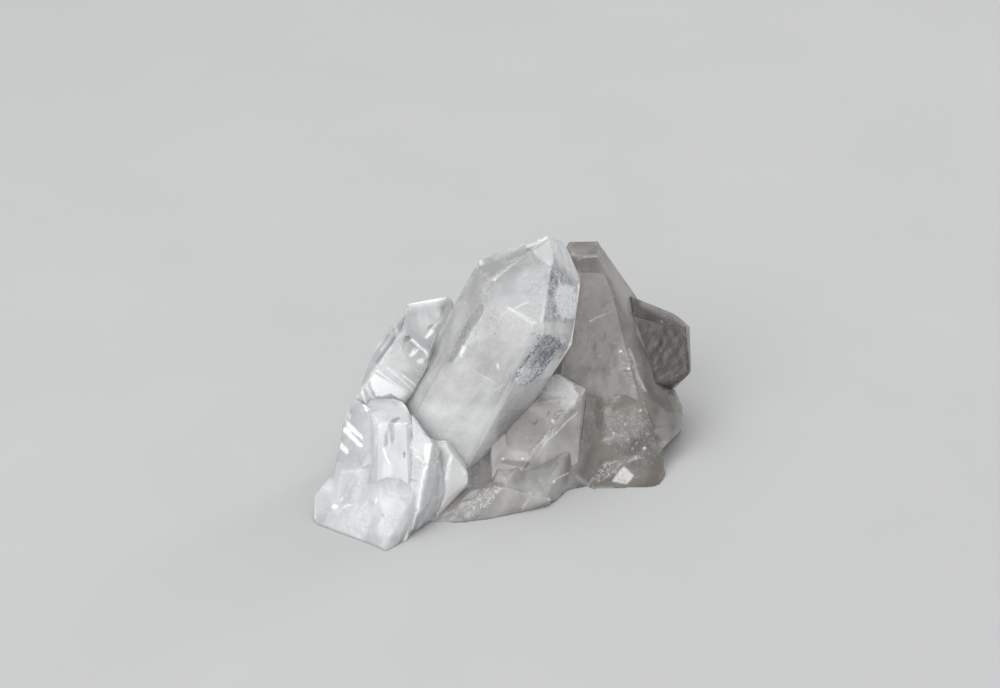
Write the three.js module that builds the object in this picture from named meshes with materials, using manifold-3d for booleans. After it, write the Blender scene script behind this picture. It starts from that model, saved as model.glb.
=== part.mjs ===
// Quartz crystal cluster: seven intergrown quartz crystals standing on the
// broken root of milky quartz that they grew from.
// Units are millimetres, +Z is up, and the cluster rests on z = 0.
// X runs along its longest side, the largest crystal leans towards +X, and the
// side with the front crystals faces -Y.
import * as THREE from 'three';
import { ConvexGeometry } from 'three/addons/geometries/ConvexGeometry.js';
import * as BufferGeometryUtils from 'three/addons/utils/BufferGeometryUtils.js';
import Module from 'manifold-3d';

// Driving dimensions.
const REST_PLANE_Z = 0;      // the surface that the cluster rests on
const GROWTH_GAP = 0.3;      // space left where one crystal grew against another
const WELD = 1e-4;           // distance under which corners are one corner
const ON_FACE = 1e-5;        // slack when a corner is tested against a face

// Surface finish of each kind of quartz in the cluster.
const FINISH = {
  bright: { color: 0xd3d4d6, roughness: 0.16, metalness: 0 },   // clear to milky
  milky: { color: 0xdcdcde, roughness: 0.24, metalness: 0 },    // whiter, fractured inside
  grey: { color: 0xaaa6a1, roughness: 0.2, metalness: 0 },      // translucent, greyer
  smoky: { color: 0x8c8781, roughness: 0.26, metalness: 0 },    // warm grey
  root: { color: 0xd0cfcf, roughness: 0.5, metalness: 0 },      // broken root
};

// The habit of each crystal. Every face is [name, nx, ny, nz, distance]: its
// outward normal and how far it grew from the crystal's centre. P faces are
// prism faces and T faces are tip faces, numbered by their angle about the
// long axis. Quartz keeps 60 degrees between prism faces and 38.2 degrees
// from a prism face to the tip face over it, and real ones stray a little.
const HABITS = {
  main_crystal: {
    centre: [1.280, 1.975, 33.163],
    faces: [
      ['P0', -0.24903, -0.95872, 0.13725, 13.423],
      ['P60', 0.66498, -0.68614, -0.29498, 10.874],
      ['P120', 0.85288, 0.25539, -0.45537, 11.514],
      ['P180', 0.20953, 0.96667, -0.14710, 12.200],
      ['P240', -0.67830, 0.67542, 0.28933, 12.395],
      ['P300', -0.82729, -0.34863, 0.44051, 15.307],
      ['T0', 0.09390, -0.71182, 0.69605, 19.086],
      ['T60', 0.90632, -0.38195, 0.18083, 13.877],
      ['T120', 0.90209, -0.04684, 0.42900, 18.886],
      ['T180', 0.46854, 0.80000, 0.37480, 22.924],
      ['T240', -0.26078, 0.58061, 0.77129, 19.488],
      ['T300', -0.40390, -0.11327, 0.90777, 21.315],
      ['TF', 0.12398, -0.66232, 0.73889, 20.151],
    ],
  },
  left_crystal: {
    centre: [-23.060, 4.784, 26.029],
    faces: [
      ['P0', 0.10253, -0.99268, 0.06388, 8.231],
      ['P60', 0.77889, -0.46006, -0.42624, 5.701],
      ['P120', 0.63322, 0.65118, -0.41831, 12.500],
      ['P180', -0.19198, 0.98056, 0.04055, 8.500],
      ['P240', -0.79804, 0.33302, 0.50223, 7.814],
      ['P300', -0.61787, -0.63448, 0.46440, 11.546],
      ['T0', 0.52036, -0.64485, 0.55981, 10.922],
      ['T60', 0.94278, -0.31427, -0.11140, 6.242],
      ['T120', 0.80938, 0.55075, 0.20391, 21.000],
      ['T180', -0.31403, 0.69549, 0.64628, 9.762],
      ['T240', -0.33673, 0.29786, 0.89325, 21.000],
      ['T300', -0.22416, -0.58526, 0.77925, 14.159],
      ['LB', -0.74370, 0.66728, 0.04056, 2.936],
    ],
  },
  front_left_crystal: {
    centre: [-25.339, -16.126, 8.812],
    faces: [
      ['F', -0.18542, -0.76842, 0.61250, 7.253],
      ['FR', 0.72779, -0.57657, 0.37132, 9.162],
      ['R', 0.90867, 0.14110, -0.39296, 4.532],
      ['FL', -0.83601, -0.36522, 0.40952, 8.206],
      ['L', -0.90631, 0.36600, -0.21131, 7.722],
      ['T0', -0.09361, -0.05403, 0.99414, 12.463],
      ['T60', 0.93247, 0.24617, 0.26438, 7.154],
      ['TB', 0.31070, 0.42679, 0.84930, 15.351],
      ['TC', 0.04626, 0.23010, 0.97207, 15.235],
      ['BK', 0.00000, 0.86603, -0.50000, 10.000],
    ],
  },
  front_small_crystal: {
    centre: [-13.387, -14.542, 5.555],
    faces: [
      ['F', -0.31614, -0.73501, 0.59985, 5.668],
      ['FR', 0.56353, -0.72547, 0.39514, 4.831],
      ['R', 0.98615, 0.15436, -0.06068, 4.008],
      ['FL', -0.96593, -0.22414, 0.12941, 4.362],
      ['T0', -0.15836, -0.15737, 0.97476, 8.733],
      ['T60', 0.79947, 0.01978, 0.60039, 5.000],
      ['TT', 0.00000, 0.40674, 0.91355, 9.099],
      ['UN', 0.76270, -0.54745, -0.34437, 4.822],
      ['BK', 0.00000, 0.86603, -0.50000, 11.000],
    ],
  },
  front_right_crystal: {
    centre: [7.042, -4.107, 9.629],
    faces: [
      ['A', -0.11228, -0.71129, 0.69387, 5.336],
      ['B', 0.46525, -0.84580, 0.26109, 6.335],
      ['C', -0.12603, -0.81399, 0.56704, 7.797],
      ['T', -0.16044, -0.22251, 0.96164, 8.584],
      ['TR', 0.23984, -0.00194, 0.97081, 13.267],
      ['R', 0.98708, -0.15721, 0.03104, 12.604],
      ['R2', 0.94870, -0.19453, -0.24924, 11.870],
      ['R3', 0.96225, -0.26687, 0.05344, 10.533],
      ['BK', -0.37176, 0.81465, -0.44513, 1.338],
      ['BK2', 0.61836, 0.77320, 0.14069, 13.721],
      ['L', -0.99619, 0.07548, -0.04358, 10.353],
    ],
  },
  back_right_crystal: {
    centre: [29.141, 15.457, 17.515],
    faces: [
      ['F1', -0.00959, -0.86214, 0.50657, 6.259],
      ['F2', 0.58853, -0.57896, 0.56430, 6.737],
      ['F3', 0.83978, -0.07552, 0.53766, 7.927],
      ['T', -0.07334, -0.14407, 0.98685, 25.091],
      ['D', -0.04239, -0.60948, 0.79166, 15.225],
      ['S1', 0.80475, 0.30170, 0.51122, 13.261],
      ['S2', 0.92251, 0.34425, 0.17456, 10.357],
      ['TB', 0.00194, 0.93830, 0.34581, 24.685],
      ['BK', 0.00000, 0.86603, -0.50000, 13.000],
      ['L', -0.98106, 0.19339, -0.01101, 16.550],
      ['LR', 0.88302, -0.44935, -0.13550, 17.452],
    ],
  },
  far_right_crystal: {
    centre: [39.742, 20.235, 21.791],
    faces: [
      ['F', 0.03036, -0.80223, 0.59624, 4.899],
      ['TF', 0.22558, -0.20967, 0.95139, 6.488],
      ['RF', 0.87596, -0.37320, 0.30565, 6.140],
      ['TT', 0.33426, 0.23216, 0.91344, 7.677],
      ['TR', 0.50235, 0.27898, 0.81842, 7.581],
      ['R', 0.99982, 0.01739, -0.00775, 5.330],
      ['RB', 0.66895, -0.53780, -0.51311, 9.429],
      ['BK', 0.00000, 0.93969, -0.34202, 10.063],
      ['U', 0.05939, -0.76154, -0.64539, 10.825],
      ['L', -1.00000, -0.00000, 0.00000, 9.289],
    ],
  },
};

// Lumps of the broken quartz root, each the hull of its corner points in mm.
const ROOT_LUMPS = {
  left_end: [
    [-45.16, -24.51, 0.00],
    [-44.36, -26.20, 0.00],
    [-37.45, -28.71, 0.00],
    [-36.08, -28.29, 0.00],
    [-32.35, -33.69, 0.00],
    [-29.49, -35.74, 0.00],
    [-24.57, -30.79, 0.00],
    [-45.05, -19.91, 4.26],
    [-45.16, -23.41, 1.79],
    [-43.23, -18.01, 5.55],
    [-41.44, -15.92, 6.16],
    [-40.17, -12.52, 7.06],
    [-38.28, -12.28, 7.48],
    [-32.87, -16.13, 8.81],
    [-29.27, -25.52, 6.54],
    [-36.45, -22.36, 5.02],
    [-39.94, -2.35, 0.00],
    [-20.63, -2.35, 0.00],
  ],
  front_toe: [
    [-27.82, -37.38, 0.00],
    [-26.47, -36.56, 0.00],
    [-25.35, -35.33, 0.00],
    [-23.59, -32.45, 0.00],
    [-22.04, -29.96, 0.00],
    [-32.35, -33.69, 0.00],
    [-29.49, -35.74, 0.00],
    [-36.08, -28.29, 0.00],
    [-30.10, -29.85, 3.83],
    [-24.49, -30.92, 3.99],
    [-21.81, -28.27, 2.78],
    [-27.86, -25.94, 6.81],
    [-17.74, -24.09, 0.00],
    [-34.53, -15.54, 0.00],
    [-18.02, -11.19, 0.00],
  ],
  middle_ledge: [
    [-17.72, -24.94, 0.00],
    [-13.98, -24.51, 0.00],
    [-9.75, -25.36, 0.00],
    [-6.01, -24.51, 0.00],
    [-3.20, -23.67, 0.00],
    [5.75, -20.27, 0.00],
    [10.50, -18.13, 0.00],
    [11.18, -18.40, 1.87],
    [-11.94, -17.46, 3.51],
    [-4.16, -14.78, 5.15],
    [-0.15, -18.55, 5.62],
    [-7.21, -17.94, 4.67],
    [-16.36, -22.32, 1.08],
    [-15.80, -2.35, 0.00],
    [3.50, -2.35, 0.00],
  ],
  right_shoulder: [
    [18.58, -7.24, 0.00],
    [20.63, -10.97, 0.00],
    [24.69, -10.76, 0.00],
    [21.20, -5.95, 3.44],
    [25.53, -5.05, 4.00],
    [32.27, -4.14, 4.56],
    [32.17, -9.00, 0.00],
    [34.99, -10.10, 0.00],
    [36.96, -9.00, 0.00],
    [38.33, -5.47, 0.00],
    [37.99, -1.67, 1.85],
    [37.81, 0.63, 3.83],
    [39.38, 3.77, 5.28],
    [42.48, 7.30, 5.38],
    [43.34, 11.56, 8.76],
    [42.61, 12.90, 11.09],
    [41.63, 14.24, 13.41],
    [36.40, 11.55, 12.75],
    [32.44, 0.99, 6.45],
    [33.06, 11.32, 0.00],
    [40.92, 11.32, 0.00],
  ],
  back_core: [
    [-38.32, -18.38, 0.00],
    [-37.32, 6.62, 0.00],
    [-19.32, 16.62, 0.00],
    [10.68, 21.62, 0.00],
    [32.68, 20.62, 0.00],
    [36.68, 7.62, 0.00],
    [34.68, -4.38, 0.00],
    [22.68, -6.38, 0.00],
    [6.68, -14.38, 0.00],
    [-13.32, -21.38, 0.00],
    [-25.32, -25.38, 0.00],
    [-32.32, -7.38, 12.00],
    [-29.32, 5.62, 13.00],
    [-11.32, 14.62, 15.00],
    [16.68, 19.62, 17.00],
    [32.68, 19.62, 15.00],
    [34.68, 6.62, 11.00],
    [-9.32, -13.38, 6.00],
    [12.68, -7.38, 8.00],
    [28.68, -1.38, 9.00],
  ],
};

const wasm = await Module();
wasm.setup();

// Corners of the convex solid bounded by the given planes { n, d }: n . x <= d.
function corners(planes) {
  const out = [];
  const m = new THREE.Matrix3();
  for (let i = 0; i < planes.length; i++) {
    for (let j = i + 1; j < planes.length; j++) {
      for (let k = j + 1; k < planes.length; k++) {
        const a = planes[i].n, b = planes[j].n, c = planes[k].n;
        m.set(a.x, a.y, a.z, b.x, b.y, b.z, c.x, c.y, c.z);
        if (Math.abs(m.determinant()) < 1e-5) continue;
        const p = new THREE.Vector3(planes[i].d, planes[j].d, planes[k].d).applyMatrix3(m.clone().invert());
        if (planes.some((q) => q.n.dot(p) > q.d + ON_FACE)) continue;
        if (out.some((q) => q.distanceTo(p) < 1e-3)) continue;
        out.push(p);
      }
    }
  }
  return out;
}

// A closed mesh with shared corners, from a geometry that may repeat them.
function welded(geometry) {
  geometry.deleteAttribute('normal');
  if (geometry.getAttribute('uv')) geometry.deleteAttribute('uv');
  return BufferGeometryUtils.mergeVertices(geometry, WELD);
}

function toSolid(geometry) {
  const g = welded(geometry);
  return new wasm.Manifold(new wasm.Mesh({
    numProp: 3,
    vertProperties: new Float32Array(g.getAttribute('position').array),
    triVerts: new Uint32Array(g.getIndex().array),
  }));
}

function toGeometry(solid) {
  const mesh = solid.getMesh();
  const g = new THREE.BufferGeometry();
  g.setAttribute('position', new THREE.BufferAttribute(new Float32Array(mesh.vertProperties), 3));
  g.setIndex(new THREE.BufferAttribute(new Uint32Array(mesh.triVerts), 1));
  g.computeVertexNormals();
  return g;
}

// A whole crystal, grown by `extra` on every face. Its root end is broken off
// flat at the height `root`.
function crystalSolid(habit, extra = 0, root = REST_PLANE_Z) {
  const centre = new THREE.Vector3(...habit.centre);
  const planes = habit.faces.map(([, x, y, z, h]) => {
    const n = new THREE.Vector3(x, y, z).normalize();
    return { n, d: n.dot(centre) + h + extra };
  });
  planes.push({ n: new THREE.Vector3(0, 0, -1), d: -root });
  return toSolid(new ConvexGeometry(corners(planes)));
}

function lumpSolid(points) {
  return toSolid(new ConvexGeometry(points.map((p) => new THREE.Vector3(...p))));
}

// What is left of a solid once others are cut away: its largest single piece.
function largest(solid) {
  return solid.decompose().sort((a, b) => b.volume() - a.volume())[0];
}

// Crystals in the order in which they took their room: a later one stops
// against every earlier one.
const GROWTH_ORDER = [
  ['main_crystal', 'bright'],
  ['left_crystal', 'bright'],
  ['front_left_crystal', 'milky'],
  ['front_small_crystal', 'milky'],
  ['front_right_crystal', 'grey'],
  ['back_right_crystal', 'smoky'],
  ['far_right_crystal', 'smoky'],
];

const cluster = new THREE.Group();
cluster.name = 'quartz_cluster';

function addPiece(name, solid, finish) {
  const mesh = new THREE.Mesh(toGeometry(solid), new THREE.MeshStandardMaterial(FINISH[finish]));
  mesh.name = name;
  cluster.add(mesh);
}

const taken = [];
for (const [name, finish] of GROWTH_ORDER) {
  let solid = crystalSolid(HABITS[name]);
  for (const room of taken) solid = solid.subtract(room);
  addPiece(name, largest(solid), finish);
  taken.push(crystalSolid(HABITS[name], GROWTH_GAP, REST_PLANE_Z - 1));
}

// The root: its lumps joined, with room for every crystal that stands in it.
let root = null;
for (const points of Object.values(ROOT_LUMPS)) {
  const lump = lumpSolid(points);
  root = root ? root.add(lump) : lump;
}
for (const room of taken) root = root.subtract(room);
addPiece('root_mass', largest(root), 'root');

export default cluster;
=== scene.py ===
"""Quartz crystal cluster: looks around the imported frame. Metres, +Z up."""
import math
import bpy
import bmesh
import numpy as np
from mathutils import Vector, Matrix
from mathutils.geometry import delaunay_2d_cdt


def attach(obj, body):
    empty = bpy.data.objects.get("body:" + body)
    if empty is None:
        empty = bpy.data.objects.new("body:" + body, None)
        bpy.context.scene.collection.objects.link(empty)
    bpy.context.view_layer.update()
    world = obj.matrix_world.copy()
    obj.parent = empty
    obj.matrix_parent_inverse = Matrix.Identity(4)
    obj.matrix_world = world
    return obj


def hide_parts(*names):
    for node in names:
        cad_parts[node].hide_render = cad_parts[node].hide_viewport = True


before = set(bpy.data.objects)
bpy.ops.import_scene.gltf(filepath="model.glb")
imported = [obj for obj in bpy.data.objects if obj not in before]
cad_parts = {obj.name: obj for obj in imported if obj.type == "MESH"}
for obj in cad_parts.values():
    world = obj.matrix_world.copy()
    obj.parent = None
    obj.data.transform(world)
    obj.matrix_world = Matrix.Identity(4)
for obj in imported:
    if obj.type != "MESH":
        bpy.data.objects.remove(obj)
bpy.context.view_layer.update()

MM = 0.001

# ---------------------------------------------------------------- crystal habits
# The same face tables as the CAD part: outward normal and distance from the
# crystal's centre, in millimetres.
HABITS = {
    'main': ((1.280, 1.975, 33.163), [
        ('P0', -0.24903, -0.95872, 0.13725, 13.423),
        ('P60', 0.66498, -0.68614, -0.29498, 10.874),
        ('P120', 0.85288, 0.25539, -0.45537, 11.514),
        ('P180', 0.20953, 0.96667, -0.14710, 12.200),
        ('P240', -0.67830, 0.67542, 0.28933, 12.395),
        ('P300', -0.82729, -0.34863, 0.44051, 15.307),
        ('T0', 0.09390, -0.71182, 0.69605, 19.086),
        ('T60', 0.90632, -0.38195, 0.18083, 13.877),
        ('T120', 0.90209, -0.04684, 0.42900, 18.886),
        ('T180', 0.46854, 0.80000, 0.37480, 22.924),
        ('T240', -0.26078, 0.58061, 0.77129, 19.488),
        ('T300', -0.40390, -0.11327, 0.90777, 21.315),
        ('TF', 0.12398, -0.66232, 0.73889, 20.151),
    ]),
    'left': ((-23.060, 4.784, 26.029), [
        ('P0', 0.10253, -0.99268, 0.06388, 8.231),
        ('P60', 0.77889, -0.46006, -0.42624, 5.701),
        ('P120', 0.63322, 0.65118, -0.41831, 12.500),
        ('P180', -0.19198, 0.98056, 0.04055, 8.500),
        ('P240', -0.79804, 0.33302, 0.50223, 7.814),
        ('P300', -0.61787, -0.63448, 0.46440, 11.546),
        ('T0', 0.52036, -0.64485, 0.55981, 10.922),
        ('T60', 0.94278, -0.31427, -0.11140, 6.242),
        ('T120', 0.80938, 0.55075, 0.20391, 21.000),
        ('T180', -0.31403, 0.69549, 0.64628, 9.762),
        ('T240', -0.33673, 0.29786, 0.89325, 21.000),
        ('T300', -0.22416, -0.58526, 0.77925, 14.159),
        ('LB', -0.74370, 0.66728, 0.04056, 2.936),
    ]),
    'front_left': ((-25.339, -16.126, 8.812), [
        ('F', -0.18542, -0.76842, 0.61250, 7.253),
        ('FR', 0.72779, -0.57657, 0.37132, 9.162),
        ('R', 0.90867, 0.14110, -0.39296, 4.532),
        ('FL', -0.83601, -0.36522, 0.40952, 8.206),
        ('L', -0.90631, 0.36600, -0.21131, 7.722),
        ('T0', -0.09361, -0.05403, 0.99414, 12.463),
        ('T60', 0.93247, 0.24617, 0.26438, 7.154),
        ('TB', 0.31070, 0.42679, 0.84930, 15.351),
        ('TC', 0.04626, 0.23010, 0.97207, 15.235),
        ('BK', 0.00000, 0.86603, -0.50000, 10.000),
    ]),
    'front_small': ((-13.387, -14.542, 5.555), [
        ('F', -0.31614, -0.73501, 0.59985, 5.668),
        ('FR', 0.56353, -0.72547, 0.39514, 4.831),
        ('R', 0.98615, 0.15436, -0.06068, 4.008),
        ('FL', -0.96593, -0.22414, 0.12941, 4.362),
        ('T0', -0.15836, -0.15737, 0.97476, 8.733),
        ('T60', 0.79947, 0.01978, 0.60039, 5.000),
        ('TT', 0.00000, 0.40674, 0.91355, 9.099),
        ('UN', 0.76270, -0.54745, -0.34437, 4.822),
        ('BK', 0.00000, 0.86603, -0.50000, 11.000),
    ]),
    'front_right': ((7.042, -4.107, 9.629), [
        ('A', -0.11228, -0.71129, 0.69387, 5.336),
        ('B', 0.46525, -0.84580, 0.26109, 6.335),
        ('C', -0.12603, -0.81399, 0.56704, 7.797),
        ('T', -0.16044, -0.22251, 0.96164, 8.584),
        ('TR', 0.23984, -0.00194, 0.97081, 13.267),
        ('R', 0.98708, -0.15721, 0.03104, 12.604),
        ('R2', 0.94870, -0.19453, -0.24924, 11.870),
        ('R3', 0.96225, -0.26687, 0.05344, 10.533),
        ('BK', -0.37176, 0.81465, -0.44513, 1.338),
        ('BK2', 0.61836, 0.77320, 0.14069, 13.721),
        ('L', -0.99619, 0.07548, -0.04358, 10.353),
    ]),
    'back_right': ((29.141, 15.457, 17.515), [
        ('F1', -0.00959, -0.86214, 0.50657, 6.259),
        ('F2', 0.58853, -0.57896, 0.56430, 6.737),
        ('F3', 0.83978, -0.07552, 0.53766, 7.927),
        ('T', -0.07334, -0.14407, 0.98685, 25.091),
        ('D', -0.04239, -0.60948, 0.79166, 15.225),
        ('S1', 0.80475, 0.30170, 0.51122, 13.261),
        ('S2', 0.92251, 0.34425, 0.17456, 10.357),
        ('TB', 0.00194, 0.93830, 0.34581, 24.685),
        ('BK', 0.00000, 0.86603, -0.50000, 13.000),
        ('L', -0.98106, 0.19339, -0.01101, 16.550),
        ('LR', 0.88302, -0.44935, -0.13550, 17.452),
    ]),
    'far_right': ((39.742, 20.235, 21.791), [
        ('F', 0.03036, -0.80223, 0.59624, 4.899),
        ('TF', 0.22558, -0.20967, 0.95139, 6.488),
        ('RF', 0.87596, -0.37320, 0.30565, 6.140),
        ('TT', 0.33426, 0.23216, 0.91344, 7.677),
        ('TR', 0.50235, 0.27898, 0.81842, 7.581),
        ('R', 0.99982, 0.01739, -0.00775, 5.330),
        ('RB', 0.66895, -0.53780, -0.51311, 9.429),
        ('BK', 0.00000, 0.93969, -0.34202, 10.063),
        ('U', 0.05939, -0.76154, -0.64539, 10.825),
        ('L', -1.00000, -0.00000, 0.00000, 9.289),
    ]),
}

ROOT_LUMPS = {
    'left_end': [(-45.16, -24.51, 0.00), (-44.36, -26.20, 0.00), (-37.45, -28.71, 0.00), (-36.08, -28.29, 0.00), (-32.35, -33.69, 0.00), (-29.49, -35.74, 0.00), (-24.57, -30.79, 0.00), (-45.05, -19.91, 4.26), (-45.16, -23.41, 1.79), (-43.23, -18.01, 5.55), (-41.44, -15.92, 6.16), (-40.17, -12.52, 7.06), (-38.28, -12.28, 7.48), (-32.87, -16.13, 8.81), (-29.27, -25.52, 6.54), (-36.45, -22.36, 5.02), (-39.94, -2.35, 0.00), (-20.63, -2.35, 0.00)],
    'front_toe': [(-27.82, -37.38, 0.00), (-26.47, -36.56, 0.00), (-25.35, -35.33, 0.00), (-23.59, -32.45, 0.00), (-22.04, -29.96, 0.00), (-32.35, -33.69, 0.00), (-29.49, -35.74, 0.00), (-36.08, -28.29, 0.00), (-30.10, -29.85, 3.83), (-24.49, -30.92, 3.99), (-21.81, -28.27, 2.78), (-27.86, -25.94, 6.81), (-17.74, -24.09, 0.00), (-34.53, -15.54, 0.00), (-18.02, -11.19, 0.00)],
    'middle_ledge': [(-17.72, -24.94, 0.00), (-13.98, -24.51, 0.00), (-9.75, -25.36, 0.00), (-6.01, -24.51, 0.00), (-3.20, -23.67, 0.00), (5.75, -20.27, 0.00), (10.50, -18.13, 0.00), (11.18, -18.40, 1.87), (-11.94, -17.46, 3.51), (-4.16, -14.78, 5.15), (-0.15, -18.55, 5.62), (-7.21, -17.94, 4.67), (-16.36, -22.32, 1.08), (-15.80, -2.35, 0.00), (3.50, -2.35, 0.00)],
    'right_shoulder': [(18.58, -7.24, 0.00), (20.63, -10.97, 0.00), (24.69, -10.76, 0.00), (21.20, -5.95, 3.44), (25.53, -5.05, 4.00), (32.27, -4.14, 4.56), (32.17, -9.00, 0.00), (34.99, -10.10, 0.00), (36.96, -9.00, 0.00), (38.33, -5.47, 0.00), (37.99, -1.67, 1.85), (37.81, 0.63, 3.83), (39.38, 3.77, 5.28), (42.48, 7.30, 5.38), (43.34, 11.56, 8.76), (42.61, 12.90, 11.09), (41.63, 14.24, 13.41), (36.40, 11.55, 12.75), (32.44, 0.99, 6.45), (33.06, 11.32, 0.00), (40.92, 11.32, 0.00)],
    'back_core': [(-38.32, -18.38, 0.00), (-37.32, 6.62, 0.00), (-19.32, 16.62, 0.00), (10.68, 21.62, 0.00), (32.68, 20.62, 0.00), (36.68, 7.62, 0.00), (34.68, -4.38, 0.00), (22.68, -6.38, 0.00), (6.68, -14.38, 0.00), (-13.32, -21.38, 0.00), (-25.32, -25.38, 0.00), (-32.32, -7.38, 12.00), (-29.32, 5.62, 13.00), (-11.32, 14.62, 15.00), (16.68, 19.62, 17.00), (32.68, 19.62, 15.00), (34.68, 6.62, 11.00), (-9.32, -13.38, 6.00), (12.68, -7.38, 8.00), (28.68, -1.38, 9.00)],
}

# Milky quartz that fills the notches where neighbouring crystals grew together.
BRIDGES = {
    'left_skirt': [(-34.47, -5.02, 20.80), (-34.82, 0.96, 17.18), (-36.69, -5.52, 16.66), (-37.06, 0.44, 13.01), (-35.86, -5.09, 21.95), (-36.22, 0.89, 18.34), (-37.35, -5.46, 18.57), (-37.73, 0.50, 14.93), (-38.38, -5.81, 14.89), (-38.78, 0.14, 11.22), (-39.50, -6.35, 8.22), (-39.90, -0.44, 4.50), (-39.63, -13.85, 7.08), (-40.04, -7.96, 3.31), (-40.90, -17.07, 6.34), (-41.33, -11.20, 2.55), (-39.73, -22.52, 4.57), (-40.15, -16.68, 0.74), (-29.52, -10.33, 21.27), (-29.83, -4.36, 17.63), (-28.40, -16.33, 19.46), (-28.70, -10.39, 15.78), (-28.14, -19.01, 16.19), (-28.43, -13.09, 12.46), (-27.18, -21.35, 13.54), (-27.46, -15.45, 9.78), (-26.46, -23.95, 10.50), (-26.73, -18.07, 6.71), (-28.31, -26.27, 7.03), (-28.60, -20.42, 3.20)],
    'toe_fill': [(-29.50, -23.00, 11.00), (-29.77, -17.84, 7.68), (-24.58, -23.79, 11.51), (-24.80, -18.62, 8.18), (-20.83, -25.99, 9.61), (-21.02, -20.84, 6.27), (-21.50, -29.65, 5.09), (-21.69, -24.53, 1.69), (-27.83, -36.63, 0.60), (-28.09, -31.54, 0.05), (-30.93, -33.98, 0.75), (-31.22, -28.89, 0.05), (-25.35, -35.00, 0.61), (-25.58, -29.92, 0.05), (-23.34, -32.40, 1.08), (-23.55, -27.30, 0.05), (-35.74, -29.40, 1.86), (-36.07, -24.29, 0.05), (-37.58, -23.26, 5.06), (-37.92, -18.13, 1.69)],
    'front_web': [(-21.85, -14.91, 23.24), (-22.07, -8.94, 19.59), (-16.90, -19.65, 18.79), (-17.07, -13.72, 15.08), (-17.59, -21.58, 16.16), (-17.77, -15.66, 12.42), (-18.97, -24.85, 11.64), (-19.16, -18.97, 7.85), (-20.11, -29.46, 5.51), (-20.31, -23.62, 1.65), (-22.65, -32.24, 1.25), (-22.88, -26.44, 0.05), (-15.19, -14.91, 13.61), (-15.33, -8.99, 9.88), (-14.46, -18.40, 9.71), (-14.60, -12.51, 5.94), (-14.21, -21.45, 6.11), (-14.35, -15.58, 2.29), (-15.14, -23.42, 3.20), (-15.29, -17.57, 0.05), (-17.03, -24.12, 0.30), (-17.20, -18.29, 0.05), (-20.90, -28.74, 0.30), (-21.11, -22.93, 0.05)],
    'right_apron': [(22.82, 6.74, 14.81), (23.07, 12.68, 11.22), (28.14, 7.43, 16.08), (28.44, 13.38, 12.51), (33.93, 6.16, 14.03), (34.29, 12.09, 10.44), (21.67, -2.99, 8.93), (21.91, 2.90, 5.25), (25.52, -3.57, 7.04), (25.80, 2.31, 3.34), (31.86, -1.63, 5.81), (32.21, 4.25, 2.12), (36.54, 0.95, 6.47), (36.93, 6.84, 2.80)],
    'right_web': [(19.27, 2.13, 18.15), (19.43, 6.50, 15.52), (19.12, -0.55, 7.41), (19.28, 3.78, 4.71), (17.30, -7.34, 5.46), (17.44, -3.04, 2.73), (23.54, 6.72, 15.10), (23.73, 11.09, 12.47), (22.63, -3.03, 8.96), (22.81, 1.29, 6.26), (22.61, -5.89, 5.10), (22.79, -1.58, 2.37), (20.67, -8.87, 1.34), (20.84, -4.59, 0.05)],
    'front_apron': [(-2.03, -12.57, 7.10), (-2.04, -6.71, 3.36), (3.41, -12.77, 7.79), (3.46, -6.90, 4.05), (10.55, -10.32, 7.35), (10.68, -4.45, 3.63), (15.35, -7.24, 8.78), (15.53, -1.36, 5.08), (-5.08, -22.69, 1.88), (-5.12, -16.89, 0.05), (-0.15, -21.84, 1.32), (-0.14, -16.04, 0.05), (5.27, -20.14, 1.61), (5.34, -14.34, 0.05), (9.29, -18.70, 2.07), (9.40, -12.88, 0.05), (11.94, -16.39, 0.27), (12.08, -10.58, 0.05), (16.38, -8.98, 0.27), (16.56, -3.15, 0.05)],
}

# Flat breaks along a crystal's outer rim: outward normal and distance, mm.
BREAKS = {
    'far_right': [((0.37340, 0.43452, 0.81961), 49.134), ((0.65001, 0.33661, 0.68131), 54.349), ((0.70601, -0.40121, -0.58359), 15.851)],
    'back_right': [((0.98937, -0.12347, -0.07680), 41.018), ((0.69672, -0.41564, -0.58465), 23.675)],
}

# Hollow in the root's right shoulder: nothing stays beyond both planes.
NOTCH = [((0.98318, 0.04424, 0.17719), 37.641), ((0.70548, -0.41146, -0.57706), 24.036)]

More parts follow.
